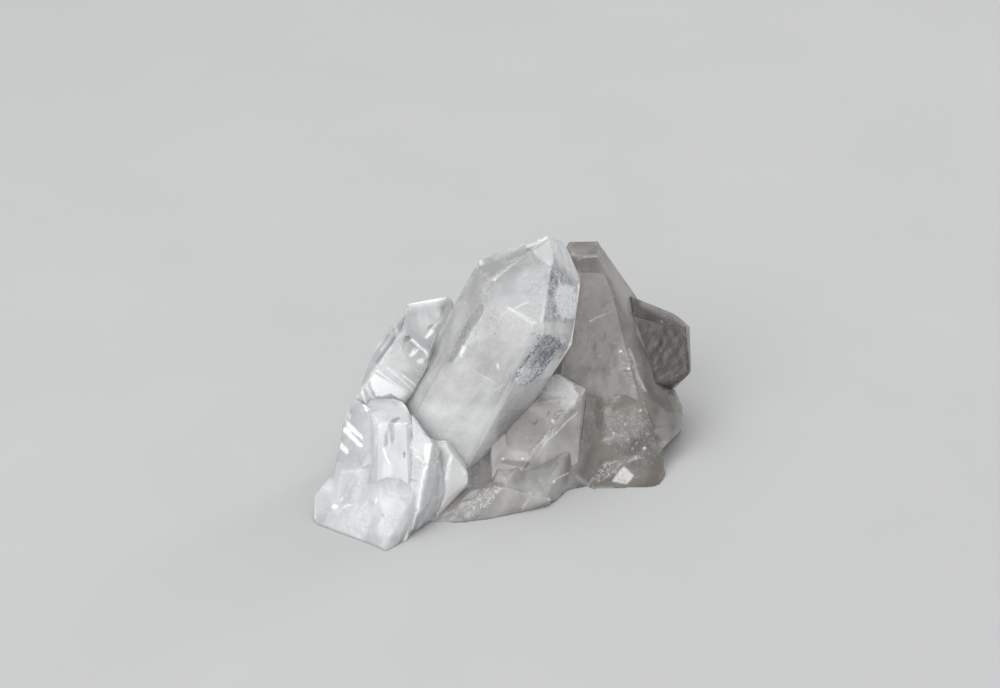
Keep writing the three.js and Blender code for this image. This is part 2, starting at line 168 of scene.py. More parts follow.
# Inclusions, healed fractures and milky bands, with painted light: highlights of cleavage
# flashes and edges, glints, light and shade, and clear windows painted dark. Each outline is in
# millimetres on the front elevation (across, and up at 60 degrees to the floor), with
# half width, softness and weight.
FEATURES = [
    ('main', 'painted_dark_window', 'poly', [(9.79, 31.78), (12.45, 30.63), (13.23, 29.0), (12.07, 27.12), (10.43, 25.0), (8.56, 22.65), (6.44, 20.53), (4.3, 19.38), (2.17, 19.67), (1.47, 20.86), (3.08, 23.67), (4.93, 26.46), (6.76, 29.46), (8.14, 31.31)], 0.0, 0.2, 0.95),
    ('main', 'light', 'poly', [(10.51, 31.55), (12.45, 30.63), (12.27, 28.53), (10.41, 25.95), (8.53, 24.07), (7.07, 25.03), (7.96, 28.31), (9.1, 30.85)], 0.0, 0.5, -0.22),
    ('main', 'painted_dark_window', 'poly', [(13.93, 29.94), (15.42, 29.94), (14.48, 27.82), (13.05, 26.88), (12.29, 27.83)], 0.0, 0.2, 0.6),
    ('main', 'painted_dark_window', 'poly', [(10.96, 48.94), (12.42, 47.17), (14.64, 44.96), (16.14, 43.63), (16.89, 41.54), (16.9, 38.23), (16.15, 35.37), (14.16, 34.4), (12.69, 35.31), (11.71, 34.12), (10.74, 35.27), (9.54, 33.86), (8.82, 34.31), (9.29, 36.62), (10.01, 39.41), (9.77, 41.25), (10.01, 44.5)], 0.0, 0.2, 0.85),
    ('main', 'painted_dark_window', 'poly', [(10.96, 48.7), (12.18, 46.46), (12.91, 44.17), (11.94, 41.8), (10.73, 39.44), (9.77, 40.79), (10.0, 44.03)], 0.0, 0.2, 1.0),
    ('main', 'spark', 'poly', [(13.16, 45.35), (16.89, 42.48), (16.7, 35.32), (13.42, 34.38), (11.7, 39.47), (12.67, 42.3)], 0.0, 0.4, 0.9),
    ('main', 'light', 'poly', [(12.67, 43.23), (15.64, 42.43), (16.9, 39.65), (15.9, 35.37), (13.18, 35.31), (11.46, 39.46)], 0.0, 0.8, 0.42),
    ('main', 'light', 'poly', [(2.41, 19.9), (2.16, 21.33), (4.25, 24.12), (6.16, 22.68), (4.3, 19.62)], 0.0, 0.5, 0.25),
    ('main', 'painted_dark_window', 'poly', [(9.06, 39.39), (10.49, 38.97), (10.98, 36.66), (10.5, 34.33), (9.06, 33.85), (8.82, 36.61)], 0.0, 0.3, 0.7),
    ('main', 'light', 'poly', [(8.12, 34.3), (13.92, 34.39), (14.91, 31.59), (10.75, 31.79), (8.39, 30.62)], 0.0, 0.4, 0.12),
    ('main', 'white', 'line', [(17.42, 43.23), (17.15, 38.47), (16.66, 34.44), (15.67, 30.18), (14.03, 26.64), (12.18, 23.31)], 0.35, 0.15, 0.85),
    ('main', 'white', 'poly', [(12.18, 23.31), (13.08, 25.93), (10.67, 25.24), (9.51, 23.11), (8.11, 20.74), (10.76, 21.65)], 0.0, 0.3, 0.35),
    ('main', 'light', 'poly', [(6.32, 50.55), (10.53, 53.86), (12.09, 53.24), (11.2, 48.49), (10.48, 47.29), (7.94, 48.68)], 0.0, 0.2, 0.55),
    ('main', 'white', 'line', [(4.95, 52.01), (7.04, 52.69), (9.83, 53.86)], 0.27999999999999997, 0.25, 0.44999999999999996),
    ('main', 'light', 'poly', [(4.72, 51.53), (6.56, 51.25), (6.32, 50.78), (4.94, 50.8)], 0.0, 0.15, -0.45),
    ('main', 'light', 'poly', [(11.84, 53.21), (13.21, 53.14), (16.02, 48.46), (17.43, 44.24), (16.9, 43.43), (14.67, 46.17), (12.2, 48.35), (11.22, 49.21)], 0.0, 0.3, 0.3),
    ('main', 'white', 'line', [(-6.33, 49.02), (-1.32, 51.16), (5.11, 53.07), (10.83, 54.61)], 0.2, 0.12, 0.41250000000000003),
    ('main', 'white', 'line', [(-3.86, 40.07), (-2.01, 39.14), (0.06, 37.98), (1.9, 37.06)], 0.128, 0.1, 0.44999999999999996),
    ('main', 'white', 'line', [(1.9, 37.06), (4.66, 35.45), (8.11, 33.15)], 0.11200000000000002, 0.1, 0.165),
    ('main', 'white', 'line', [(-3.86, 40.07), (-3.4, 41.68), (-3.4, 43.08)], 0.128, 0.1, 0.44999999999999996),
    ('main', 'white', 'line', [(-3.4, 43.08), (-2.02, 44.94)], 0.128, 0.1, 0.375),
    ('main', 'spark', 'line', [(-2.02, 44.94), (-0.63, 46.1), (1.45, 47.5), (3.77, 48.91)], 0.35, 0.3, 0.7),
    ('main', 'spark', 'line', [(-1.32, 48.28), (1.46, 48.7), (3.54, 49.38)], 0.4, 0.3, 1.0),
    ('main', 'spark', 'poly', [(-7.39, 46.04), (-3.17, 44.96), (-3.4, 41.68), (-5.96, 40.83), (-7.62, 43.22)], 0.0, 0.8, 0.75),
    ('main', 'white', 'line', [(2.36, 37.53), (3.52, 38.22), (5.13, 38.92)], 0.17600000000000002, 0.12, 0.5249999999999999),
    ('main', 'spark', 'line', [(-0.4, 33.16), (0.98, 34.08), (2.59, 35.22)], 0.6, 0.3, 1.0),
    ('main', 'spark', 'poly', [(4.89, 35.22), (7.89, 34.3), (7.89, 32.46), (6.52, 30.16), (4.9, 32.0)], 0.0, 0.5, 0.95),
    ('main', 'spark', 'poly', [(3.76, 46.81), (9.78, 46.36), (9.53, 39.4), (7.89, 36.61), (4.21, 39.38), (2.37, 43.55)], 0.0, 1.0, 0.35),
    ('main', 'spark', 'poly', [(0.52, 37.07), (7.9, 38.46), (8.35, 35.22), (4.2, 34.3), (0.52, 32.47)], 0.0, 1.0, 0.35),
    ('main', 'light', 'poly', [(-5.02, 38.94), (-4.09, 38.69), (-5.72, 35.25), (-7.82, 32.25), (-9.93, 28.07), (-12.53, 24.8), (-13.97, 24.79), (-11.36, 29.47), (-9.0, 34.35), (-7.36, 36.89)], 0.0, 0.35, -0.24),
    ('main', 'light', 'poly', [(-5.25, 38.25), (-4.32, 38.23), (-6.18, 35.02), (-8.28, 32.02), (-10.4, 28.07), (-12.53, 25.27), (-13.25, 25.26), (-10.17, 30.63), (-7.82, 34.8)], 0.0, 0.3, -0.1),
    ('main', 'spark', 'line', [(-3.86, 37.31), (-5.95, 34.09), (-7.82, 31.09), (-9.47, 28.07), (-11.12, 25.27)], 0.75, 0.4, 1.0),
    ('main', 'white', 'line', [(-4.09, 38.46), (-5.72, 35.02), (-7.82, 32.02), (-9.93, 27.84), (-12.29, 24.8)], 0.16000000000000003, 0.12, 0.3375),
    ('main', 'white', 'poly', [(-10.16, 29.0), (-9.23, 28.54), (-9.7, 27.37), (-10.41, 25.97), (-10.88, 26.44)], 0.0, 0.15, 0.75),
    ('main', 'white', 'poly', [(-2.25, 24.59), (-1.56, 24.59), (-1.56, 23.42), (-2.02, 23.65)], 0.0, 0.12, 0.95),
    ('main', 'white', 'line', [(1.0, 20.16), (-0.39, 17.57), (-1.32, 15.68), (-2.96, 13.31), (-6.02, 9.5)], 0.27999999999999997, 0.25, 0.315),
    ('main', 'white', 'line', [(-2.72, 18.5), (-1.32, 19.21), (-0.16, 19.92)], 0.2, 0.15, 0.30000000000000004),
    ('main', 'white', 'line', [(-6.97, 9.01), (-5.08, 10.45), (-3.2, 12.37)], 0.4, 0.4, 0.1875),
    ('main', 'light', 'poly', [(0.54, 18.98), (2.4, 20.85), (5.26, 18.88), (-0.62, 14.23), (-1.56, 11.35), (-3.72, -1.02), (-6.59, -2.34), (-6.03, 6.64), (-3.2, 12.37), (-1.32, 15.68)], 0.0, 0.6, 0.2),
    ('main', 'light', 'poly', [(-19.02, 17.2), (-2.49, 17.33), (-4.92, -2.21), (-17.93, 1.71)], 0.0, 4.0, 0.22),
    ('main', 'light', 'line', [(-5.37, 14.95), (-5.23, 14.95)], 0.9, 0.6, -0.15),
    ('main', 'light', 'line', [(-6.54, 16.83), (-6.4, 16.83)], 0.5, 0.4, -0.12),
    ('main', 'white', 'poly', [(-6.46, 48.83), (-5.53, 48.87), (-5.05, 47.88), (-5.99, 47.42)], 0.0, 0.2, 0.5),
    ('main', 'painted_dark_window', 'poly', [(-6.7, 48.63), (-6.46, 47.43), (-7.86, 45.12), (-9.05, 43.27), (-9.52, 43.29), (-9.04, 44.9), (-7.64, 47.23)], 0.0, 0.25, 0.55),
    ('main', 'light', 'poly', [(-11.9, 38.87), (-10.23, 40.48), (-8.31, 39.49), (-9.96, 35.3), (-11.85, 31.34), (-13.26, 27.36), (-14.47, 27.36), (-12.58, 32.99), (-12.37, 37.22)], 0.0, 0.6, -0.04),
    ('main', 'light', 'poly', [(-6.42, 48.24), (5.18, 52.01), (7.48, 50.09), (-1.32, 46.84), (-3.64, 44.97)], 0.0, 0.5, 0.1),
    ('main', 'white', 'line', [(4.9, 31.54), (2.38, 26.45), (0.07, 21.79)], 0.2, 0.2, 0.11249999999999999),
    ('main', 'light', 'line', [(9.29, 39.39), (8.35, 34.76), (4.91, 29.0), (1.46, 22.73)], 0.3, 0.2, 0.25),
    ('left', 'white', 'line', [(-22.73, 38.76), (-17.8, 39.59), (-12.62, 40.18)], 0.35, 0.2, 0.75),
    ('left', 'light', 'poly', [(-22.5, 38.64), (-12.67, 40.11), (-12.79, 38.31), (-19.02, 38.2), (-22.95, 36.75)], 0.0, 0.3, 0.25),
    ('left', 'light', 'poly', [(-19.02, 38.44), (-14.13, 38.72), (-15.52, 36.81), (-18.32, 36.79)], 0.0, 0.4, -0.14),
    ('left', 'white', 'poly', [(-14.13, 38.24), (-13.01, 38.3), (-12.89, 33.09), (-14.32, 28.75), (-15.61, 29.71), (-15.99, 32.07), (-14.83, 35.39)], 0.0, 0.3, 0.38),
    ('left', 'light', 'poly', [(-24.08, 29.7), (-23.6, 31.11), (-22.68, 31.35), (-22.22, 30.41), (-23.15, 29.94)], 0.0, 0.15, -0.75),
    ('left', 'light', 'poly', [(-24.33, 28.76), (-22.21, 30.17), (-20.59, 28.76), (-22.49, 27.35), (-24.12, 27.35)], 0.0, 0.25, -0.25),
    ('left', 'light', 'poly', [(-18.53, 32.77), (-18.07, 33.72), (-16.91, 33.96), (-17.14, 33.25), (-18.3, 32.53)], 0.0, 0.15, -0.7),
    ('left', 'white', 'poly', [(-19.22, 30.88), (-17.6, 32.77), (-16.67, 32.3), (-18.52, 30.41)], 0.0, 0.1, 0.95),
    ('left', 'white', 'poly', [(-22.97, 26.41), (-21.3, 28.29), (-20.37, 28.06), (-22.04, 26.17)], 0.0, 0.1, 1.0),
    ('left', 'white', 'line', [(-17.6, 32.77), (-15.75, 34.44)], 0.25, 0.15, 0.5),
    ('left', 'light', 'line', [(-16.67, 31.83), (-15.52, 33.73)], 0.25, 0.15, -0.35),
    ('left', 'white', 'line', [(-21.98, 30.17), (-20.59, 29.0), (-18.97, 27.59), (-18.28, 26.17)], 0.25, 0.1, 1.0),
    ('left', 'light', 'line', [(-18.28, 26.17), (-18.78, 24.04), (-19.35, 21.64), (-21.03, 19.26)], 0.35, 0.25, -0.25),
    ('left', 'light', 'poly', [(-18.78, 23.57), (-17.27, 24.0), (-16.9, 22.76), (-18.05, 21.83)], 0.0, 0.2, -0.85),
    ('left', 'white', 'poly', [(-16.09, 27.8), (-14.32, 28.75), (-15.77, 23.21), (-16.41, 23.49)], 0.0, 0.25, 0.35),
    ('left', 'light', 'poly', [(-18.28, 29.0), (-16.28, 29.0), (-16.4, 23.97), (-18.14, 23.55)], 0.0, 0.3, -0.1),
    ('left', 'light', 'poly', [(-23.64, 35.81), (-23.17, 35.34), (-23.84, 32.52), (-25.71, 30.17), (-28.6, 26.41), (-31.51, 22.39), (-32.97, 19.55), (-34.19, 18.83), (-34.25, 20.77), (-31.78, 26.16), (-28.38, 30.65), (-24.81, 34.63)], 0.0, 0.3, -0.26),
    ('left', 'light', 'line', [(-23.64, 35.57), (-24.31, 33.46), (-25.72, 31.11), (-28.12, 27.82), (-30.3, 24.99)], 0.3, 0.25, -0.3),
    ('left', 'light', 'line', [(-26.44, 31.58), (-29.34, 27.82)], 0.25, 0.2, 0.35),
    ('left', 'white', 'line', [(-24.52, 31.58), (-27.64, 27.59), (-30.54, 23.81), (-33.95, 18.6)], 0.22, 0.15, 0.3),
    ('left', 'white', 'poly', [(-30.79, 22.16), (-29.16, 21.45), (-26.84, 20.02), (-24.28, 18.35), (-23.12, 17.39), (-24.09, 15.72), (-25.49, 16.44), (-27.12, 17.64), (-29.26, 16.93), (-30.67, 16.93), (-31.11, 18.12), (-31.79, 19.55), (-31.99, 20.74)], 0.0, 0.12, 1.0),
    ('left', 'light', 'poly', [(-30.54, 22.64), (-27.7, 24.29), (-23.98, 22.15), (-21.01, 19.51), (-22.65, 17.62), (-26.14, 19.78)], 0.0, 0.2, 0.4),
    ('left', 'white', 'line', [(-30.3, 23.11), (-27.3, 20.73), (-24.51, 18.83), (-23.11, 17.87)], 0.2, 0.1, 0.9),
    ('left', 'white', 'line', [(-27.94, 23.82), (-24.94, 21.21), (-21.98, 18.08)], 0.18, 0.08, 0.9),
    ('left', 'white', 'line', [(-29.6, 22.87), (-26.36, 20.26), (-24.04, 18.59)], 0.14, 0.08, 0.6),
    ('left', 'white', 'line', [(-24.45, 22.15), (-22.83, 20.73), (-21.24, 19.27)], 0.18, 0.08, 0.85),
    ('left', 'light', 'line', [(-23.76, 20.97), (-21.68, 19.06)], 0.22, 0.12, -0.25),
    ('left', 'light', 'line', [(-28.9, 22.63), (-25.44, 19.54)], 0.2, 0.12, -0.15),
    ('left', 'white', 'poly', [(-21.11, 25.47), (-19.69, 25.94), (-19.24, 24.99), (-20.42, 24.52)], 0.0, 0.2, 0.75),
    ('left', 'spark', 'poly', [(-21.59, 24.52), (-18.77, 24.99), (-19.35, 21.64), (-21.17, 21.2)], 0.0, 0.3, 0.8),
    ('left', 'spark', 'poly', [(-23.9, 26.88), (-22.04, 25.94), (-22.53, 24.52), (-24.39, 25.47)], 0.0, 0.3, 0.5),
    ('left', 'white', 'line', [(-33.94, 18.12), (-33.28, 15.98), (-32.62, 13.82)], 0.28, 0.15, 0.95),
    ('left', 'white', 'line', [(-32.97, 19.55), (-32.07, 17.41), (-31.15, 16.45)], 0.3, 0.2, 0.55),
    ('left', 'white', 'poly', [(-37.75, 11.86), (-37.03, 11.14), (-33.47, 8.04), (-33.26, 6.83), (-36.51, 9.26), (-37.98, 10.67)], 0.0, 0.12, 0.9),
    ('left', 'white', 'poly', [(-38.53, 10.39), (-37.58, 9.91), (-33.75, 6.35), (-33.54, 5.13), (-34.24, 5.38), (-38.29, 8.96)], 0.0, 0.12, 0.95),
    ('left', 'white', 'poly', [(-39.26, 7.52), (-38.55, 7.04), (-36.38, 5.14), (-36.42, 3.93), (-37.59, 4.42), (-39.26, 6.09)], 0.0, 0.12, 0.85),
    ('left', 'light', 'line', [(-37.8, 10.64), (-33.51, 6.35)], 0.15, 0.1, -0.25),
    ('left', 'white', 'poly', [(-37.41, 13.09), (-36.69, 12.85), (-36.69, 11.43), (-37.4, 11.67)], 0.0, 0.15, 0.55),
    ('left', 'light', 'poly', [(-39.24, 3.79), (-33.54, 4.89), (-32.3, 0.67), (-37.24, -0.46), (-40.19, -0.04)], 0.0, 0.5, -0.1),
    ('left', 'light', 'line', [(-32.29, 26.38), (-35.14, 18.76), (-37.98, 12.09), (-39.4, 6.39)], 0.4, 0.3, 0.3),
    ('left', 'light', 'poly', [(-22.48, 35.34), (-19.01, 36.31), (-15.98, 34.43), (-19.22, 30.65), (-22.0, 32.52)], 0.0, 0.5, 0.14),
    ('left', 'light', 'poly', [(-28.36, 26.65), (-23.68, 26.18), (-21.35, 24.99), (-23.97, 22.63), (-27.23, 24.05), (-29.59, 23.11)], 0.0, 0.5, 0.15),
    ('front_left', 'white', 'poly', [(-24.96, 15.76), (-22.98, 14.64), (-21.33, 11.58), (-22.41, 12.83), (-24.4, 14.64)], 0.0, 0.2, 0.45),
    ('front_left', 'light', 'poly', [(-28.17, 9.39), (-27.7, 9.62), (-27.45, 6.84), (-27.68, 5.21), (-28.38, 5.44)], 0.0, 0.2, -0.55),
    ('front_left', 'light', 'poly', [(-27.0, 9.86), (-26.06, 9.87), (-25.81, 7.78), (-26.5, 5.45), (-26.98, 6.84)], 0.0, 0.2, -0.45),
    ('front_left', 'light', 'poly', [(-27.47, 10.32), (-26.59, 11.69), (-24.97, 12.14), (-24.71, 11.7), (-26.06, 10.56), (-26.77, 9.86)], 0.0, 0.2, -0.6),
    ('front_left', 'light', 'poly', [(-27.48, 10.55), (-24.7, 11.47), (-21.6, 10.59), (-21.81, 5.49), (-24.14, 3.15), (-26.97, 4.52)], 0.0, 0.5, -0.1),
    ('front_left', 'light', 'line', [(-22.38, 10.58), (-22.24, 10.58)], 0.2, 0.12, -0.6),
    ('front_left', 'light', 'line', [(-23.68, 3.85), (-23.56, 2.93)], 0.2, 0.12, -0.95),
    ('front_left', 'light', 'line', [(-25.9, 14.86), (-25.76, 14.86)], 0.35, 0.25, -0.3),
    ('front_left', 'light', 'line', [(-26.64, 15.31), (-26.5, 15.31)], 0.3, 0.25, -0.3),
    ('front_left', 'white', 'line', [(-21.36, 11.06), (-21.13, 8.73), (-21.59, 6.88), (-22.05, 5.02)], 0.25, 0.1, 1.0),
    ('front_left', 'white', 'line', [(-28.5, 4.74), (-27.9, 2.89), (-27.07, 1.28)], 0.22, 0.12, 0.8),
    ('front_left', 'light', 'poly', [(-28.36, 2.19), (-26.48, 0.82), (-26.46, -2.42), (-27.86, -2.89), (-28.82, -0.13)], 0.0, 0.5, 0.3),
    ('front_left', 'white', 'poly', [(-18.6, 6.36), (-16.96, 6.59), (-17.31, 4.03), (-17.66, 1.93), (-18.36, 2.4), (-18.71, 4.5)], 0.0, 0.12, 1.0),
    ('front_left', 'white', 'poly', [(-18.81, 0.79), (-18.13, 1.46), (-18.35, -0.16), (-18.92, -0.6)], 0.0, 0.15, 0.95),
    ('front_left', 'white', 'line', [(-17.84, 1.78), (-19.03, -1.29), (-19.71, -4.74), (-20.38, -9.34), (-21.5, -13.43)], 0.22, 0.14, 0.55),
    ('front_left', 'white', 'line', [(-21.81, 4.79), (-20.17, 3.41), (-18.81, 2.3)], 0.15, 0.1, 0.8),
    ('front_left', 'white', 'line', [(-21.35, 5.72), (-19.95, 4.33)], 0.15, 0.1, 0.6),
    ('front_left', 'spark', 'line', [(-19.44, 10.17), (-17.53, 6.84)], 0.5, 0.3, 1.0),
    ('front_left', 'spark', 'poly', [(-22.28, 5.48), (-18.79, 4.09), (-19.04, -0.13), (-21.78, -1.45)], 0.0, 0.5, 0.6),
    ('front_left', 'light', 'poly', [(-29.26, -4.75), (-20.39, -2.38), (-21.72, -13.88), (-29.2, -13.97)], 0.0, 2.0, 0.08),
    ('front_left', 'white', 'line', [(-30.07, -6.61), (-30.18, -7.99)], 0.2, 0.12, 0.7),
    ('front_small', 'light', 'poly', [(-14.49, 5.71), (-12.13, 2.69), (-13.28, 0.62), (-13.75, -2.64), (-11.89, -5.05), (-9.09, -1.38), (-11.9, 2.45)], 0.0, 0.3, 0.15),
    ('front_small', 'light', 'poly', [(-16.37, 4.31), (-15.17, 0.6), (-15.15, -4.99), (-16.33, -6.87), (-16.84, -0.39)], 0.0, 0.4, -0.25),
    ('front_small', 'spark', 'poly', [(-16.36, 1.51), (-14.46, 0.61), (-14.45, -4.98), (-16.09, -6.4)], 0.0, 0.4, 0.45),
    ('front_small', 'white', 'line', [(-12.59, 3.17), (-13.52, 0.62), (-13.98, -2.64)], 0.28, 0.15, 0.8),
    ('front_small', 'white', 'line', [(-14.75, 6.39), (-13.06, 3.88), (-12.12, 2.47)], 0.25, 0.15, 0.45),
    ('front_small', 'spark', 'poly', [(-10.03, -0.4), (-8.38, -0.65), (-8.62, -1.82), (-9.79, -1.82)], 0.0, 0.3, 1.0),
    ('front_small', 'white', 'line', [(-11.9, 2.45), (-9.09, -1.14), (-8.61, -3.69)], 0.25, 0.15, 0.35),
    ('front_right', 'light', 'line', [(-0.61, 14.0), (1.53, 14.24), (5.33, 13.54)], 0.22, 0.14, -0.5),
    ('front_right', 'light', 'line', [(-0.61, 13.76), (-0.14, 9.98), (0.34, 5.27)], 0.22, 0.14, -0.42),
    ('front_right', 'light', 'poly', [(-0.37, 13.76), (5.33, 13.54), (9.36, 11.19), (9.34, 7.66), (5.78, 3.65), (1.05, 4.1), (0.34, 6.45)], 0.0, 0.35, -0.2),
    ('front_right', 'light', 'poly', [(-1.32, 13.05), (-0.61, 13.05), (0.1, 5.04), (-1.8, 2.92), (-3.69, -1.08), (-4.17, -0.67)], 0.0, 0.3, 0.12),
    ('front_right', 'light', 'line', [(-0.02, 7.86), (0.34, 8.8), (0.81, 9.28)], 0.22, 0.12, -0.9),
    ('front_right', 'light', 'line', [(6.51, 10.24), (7.22, 10.24), (7.46, 10.95)], 0.16, 0.1, -1.0),
    ('front_right', 'light', 'line', [(5.56, 10.94), (6.27, 10.47)], 0.16, 0.1, -0.6),
    ('front_right', 'light', 'line', [(10.07, 12.37), (10.31, 13.08)], 0.2, 0.12, -0.9),
    ('front_right', 'spark', 'poly', [(6.3, 19.23), (12.25, 22.56), (15.92, 20.37), (17.23, 17.34), (16.49, 14.27), (14.11, 13.09), (13.17, 15.45), (12.48, 16.62), (9.4, 16.61), (4.88, 16.59), (3.45, 16.82)], 0.0, 0.4, 0.85),
    ('front_right', 'light', 'poly', [(9.45, 19.66), (12.37, 22.27), (15.91, 20.14), (16.99, 17.34), (16.25, 14.51), (14.11, 13.56), (13.17, 15.92), (10.12, 17.31)], 0.0, 0.5, 0.18),
    ('front_right', 'spark', 'line', [(14.11, 13.33), (12.45, 12.62), (11.25, 10.73), (10.06, 8.37), (9.34, 7.19), (7.68, 5.3), (5.78, 3.18)], 0.45, 0.25, 1.0),
    ('front_right', 'white', 'line', [(11.02, 11.2), (11.49, 10.49)], 0.25, 0.12, 0.9),
    ('front_right', 'white', 'line', [(9.1, 6.48), (9.58, 7.43)], 0.16000000000000003, 0.12, 0.5249999999999999),
    ('front_right', 'white', 'line', [(17.23, 13.06), (14.35, 10.47), (11.96, 8.12), (8.86, 5.54)], 0.12, 0.07, 0.8),
    ('front_right', 'white', 'line', [(15.31, 11.65), (10.53, 7.43)], 0.096, 0.07, 0.26249999999999996),
    ('front_right', 'light', 'poly', [(-1.09, 1.28), (0.1, 1.99), (2.23, 1.53), (4.59, 1.54), (6.01, 0.84), (4.83, -0.1), (2.94, 0.13), (1.52, 0.35), (-0.14, 0.81)], 0.0, 0.25, -0.75),
    ('front_right', 'light', 'poly', [(-0.61, 0.34), (5.3, -0.1), (4.35, -2.47), (0.57, -2.46)], 0.0, 0.6, -0.18),
    ('front_right', 'white', 'line', [(-0.68, 2.1), (-0.54, 2.1)], 0.22, 0.12, 0.9),
    ('front_right', 'white', 'line', [(4.05, 2.0), (4.19, 2.01)], 0.26, 0.12, 1.0),
    ('front_right', 'white', 'line', [(11.29, -3.37), (12.73, -2.45), (14.9, -1.54)], 0.128, 0.1, 0.5625),
    ('front_right', 'white', 'line', [(11.58, -3.38), (11.72, -3.39)], 0.22, 0.12, 0.9),
    ('front_right', 'light', 'line', [(20.23, 17.98), (20.71, 11.03), (19.75, 7.2), (18.61, 4.02), (17.56, 1.5), (16.84, -1.83)], 0.45, 0.35, 0.4),
    ('front_right', 'white', 'line', [(17.81, 2.92), (17.43, 0.8)], 0.16000000000000003, 0.12, 0.5625),
    ('front_right', 'white', 'line', [(18.94, 18.75), (20.36, 17.79)], 0.24, 0.15, 0.44999999999999996),
    ('front_right', 'spark', 'poly', [(-8.88, -9.51), (-6.05, -5.27), (-3.22, -3.88), (0.57, -4.09), (-1.32, -5.74), (-3.69, -8.8), (-6.52, -11.16), (-8.41, -12.34), (-9.83, -11.16)], 0.0, 0.4, 1.0),
    ('front_right', 'light', 'poly', [(3.41, -0.57), (12.96, 0.19), (14.33, -5.39), (5.79, -8.24)], 0.0, 1.2, 0.14),
    ('front_right', 'light', 'poly', [(0.09, -4.1), (5.78, -2.99), (10.5, -7.67), (-1.32, -10.5)], 0.0, 1.0, 0.14),
    ('front_right', 'light', 'poly', [(10.06, 8.84), (12.91, 10.02), (9.35, 1.72), (6.96, 1.29)], 0.0, 0.6, 0.1),
    ('front_right', 'white', 'line', [(0.27, 13.53), (0.41, 13.53)], 0.096, 0.1, 0.375),
    ('front_right', 'white', 'line', [(1.93, 12.59), (2.08, 12.59)], 0.096, 0.1, 0.375),
    ('front_right', 'white', 'line', [(7.64, 13.55), (7.78, 13.55)], 0.096, 0.1, 0.375),
    ('front_right', 'white', 'line', [(5.01, 6.94), (5.15, 6.94)], 0.096, 0.1, 0.375),
    ('front_right', 'white', 'line', [(5.96, 7.18), (6.1, 7.18)], 0.096, 0.1, 0.375),
    ('front_right', 'white', 'line', [(12.85, 7.15), (13.0, 7.15)], 0.096, 0.1, 0.375),
    ('front_right', 'white', 'line', [(6.66, 5.07), (6.8, 5.07)], 0.096, 0.1, 0.375),
    ('front_right', 'white', 'line', [(15.52, 3.5), (15.67, 3.5)], 0.096, 0.1, 0.375),
    ('back_right', 'light', 'poly', [(14.47, 53.54), (17.63, 54.51), (22.32, 54.34), (23.22, 51.59), (16.84, 50.55)], 0.0, 0.4, 0.14),
    ('back_right', 'light', 'poly', [(16.84, 50.3), (22.44, 51.54), (23.56, 47.59), (20.42, 46.38), (17.05, 48.09)], 0.0, 1.3, -0.14),
    ('back_right', 'white', 'line', [(21.97, 53.57), (22.11, 53.57)], 0.32000000000000006, 0.3, 0.26249999999999996),
    ('back_right', 'white', 'line', [(16.3, 51.06), (16.45, 51.06)], 0.32000000000000006, 0.3, 0.1875),
    ('back_right', 'white', 'line', [(24.21, 44.45), (24.35, 44.45)], 0.24, 0.25, 0.15000000000000002),
    ('back_right', 'white', 'line', [(25.65, 40.59), (25.8, 40.59)], 0.24, 0.25, 0.165),
    ('back_right', 'white', 'line', [(20.41, 34.67), (21.62, 35.51), (24.28, 36.48)], 0.17600000000000002, 0.18, 0.41250000000000003),
    ('back_right', 'white', 'line', [(24.28, 36.48), (26.69, 37.69)], 0.16000000000000003, 0.18, 0.1875),
    ('back_right', 'white', 'line', [(27.82, 27.54), (27.97, 27.54)], 0.28, 0.15, 0.85),
    ('back_right', 'white', 'line', [(29.63, 23.32), (29.78, 23.32)], 0.28, 0.15, 0.8),
    ('back_right', 'white', 'line', [(28.55, 24.65), (28.69, 24.65)], 0.16000000000000003, 0.15, 0.375),
    ('back_right', 'white', 'line', [(22.75, 26.34), (22.9, 26.34)], 0.24, 0.25, 0.22499999999999998),
    ('back_right', 'white', 'line', [(26.13, 29.48), (26.28, 29.48)], 0.4, 0.3, 0.15000000000000002),
    ('back_right', 'white', 'line', [(25.65, 22.71), (25.79, 22.71)], 0.24, 0.25, 0.1875),
    ('back_right', 'white', 'line', [(29.83, 28.03), (30.79, 26.34), (31.51, 22.96), (32.72, 20.06), (33.93, 17.89)], 0.24, 0.22, 0.315),
    ('back_right', 'white', 'line', [(31.75, 21.51), (32.96, 19.58), (33.68, 17.89)], 0.24, 0.2, 0.375),
    ('back_right', 'spark', 'poly', [(27.65, 28.27), (30.55, 27.3), (32.96, 19.58), (34.43, 17.64), (31.51, 18.13), (28.14, 22.47)], 0.0, 0.6, 0.35),
    ('back_right', 'light', 'poly', [(30.08, 30.2), (32.1, 31.17), (35.04, 25.35), (39.25, 18.54), (42.47, 12.69), (39.41, 12.75), (35.42, 16.18), (33.46, 20.06), (31.53, 25.85)], 0.0, 0.5, -0.28),
    ('back_right', 'light', 'poly', [(31.26, 36.04), (33.66, 34.62), (37.36, 27.76), (40.84, 18.51), (39.26, 19.27), (35.05, 25.84), (31.85, 31.17)], 0.0, 0.4, 0.15),
    ('back_right', 'light', 'poly', [(39.5, 18.54), (41.45, 18.3), (41.0, 16.58), (39.48, 17.09)], 0.0, 0.3, -0.7),
    ('back_right', 'white', 'line', [(32.4, 13.3), (32.55, 13.3)], 0.24, 0.16, 0.44999999999999996),
    ('root', 'white', 'line', [(32.51, 13.25), (32.65, 13.25)], 0.3, 0.16, 0.6),
    ('back_right', 'white', 'line', [(28.78, 9.92), (28.93, 9.92)], 0.17600000000000002, 0.16, 0.375),
    ('root', 'white', 'line', [(28.72, 9.96), (28.87, 9.96)], 0.22, 0.16, 0.5),
    ('back_right', 'white', 'line', [(33.61, 4.13), (33.75, 4.13)], 0.28, 0.16, 0.9),
    ('root', 'white', 'line', [(33.48, 4.22), (33.62, 4.22)], 0.28, 0.16, 0.9),
    ('back_right', 'white', 'line', [(26.13, 7.75), (26.27, 7.75)], 0.2, 0.16, 0.375),
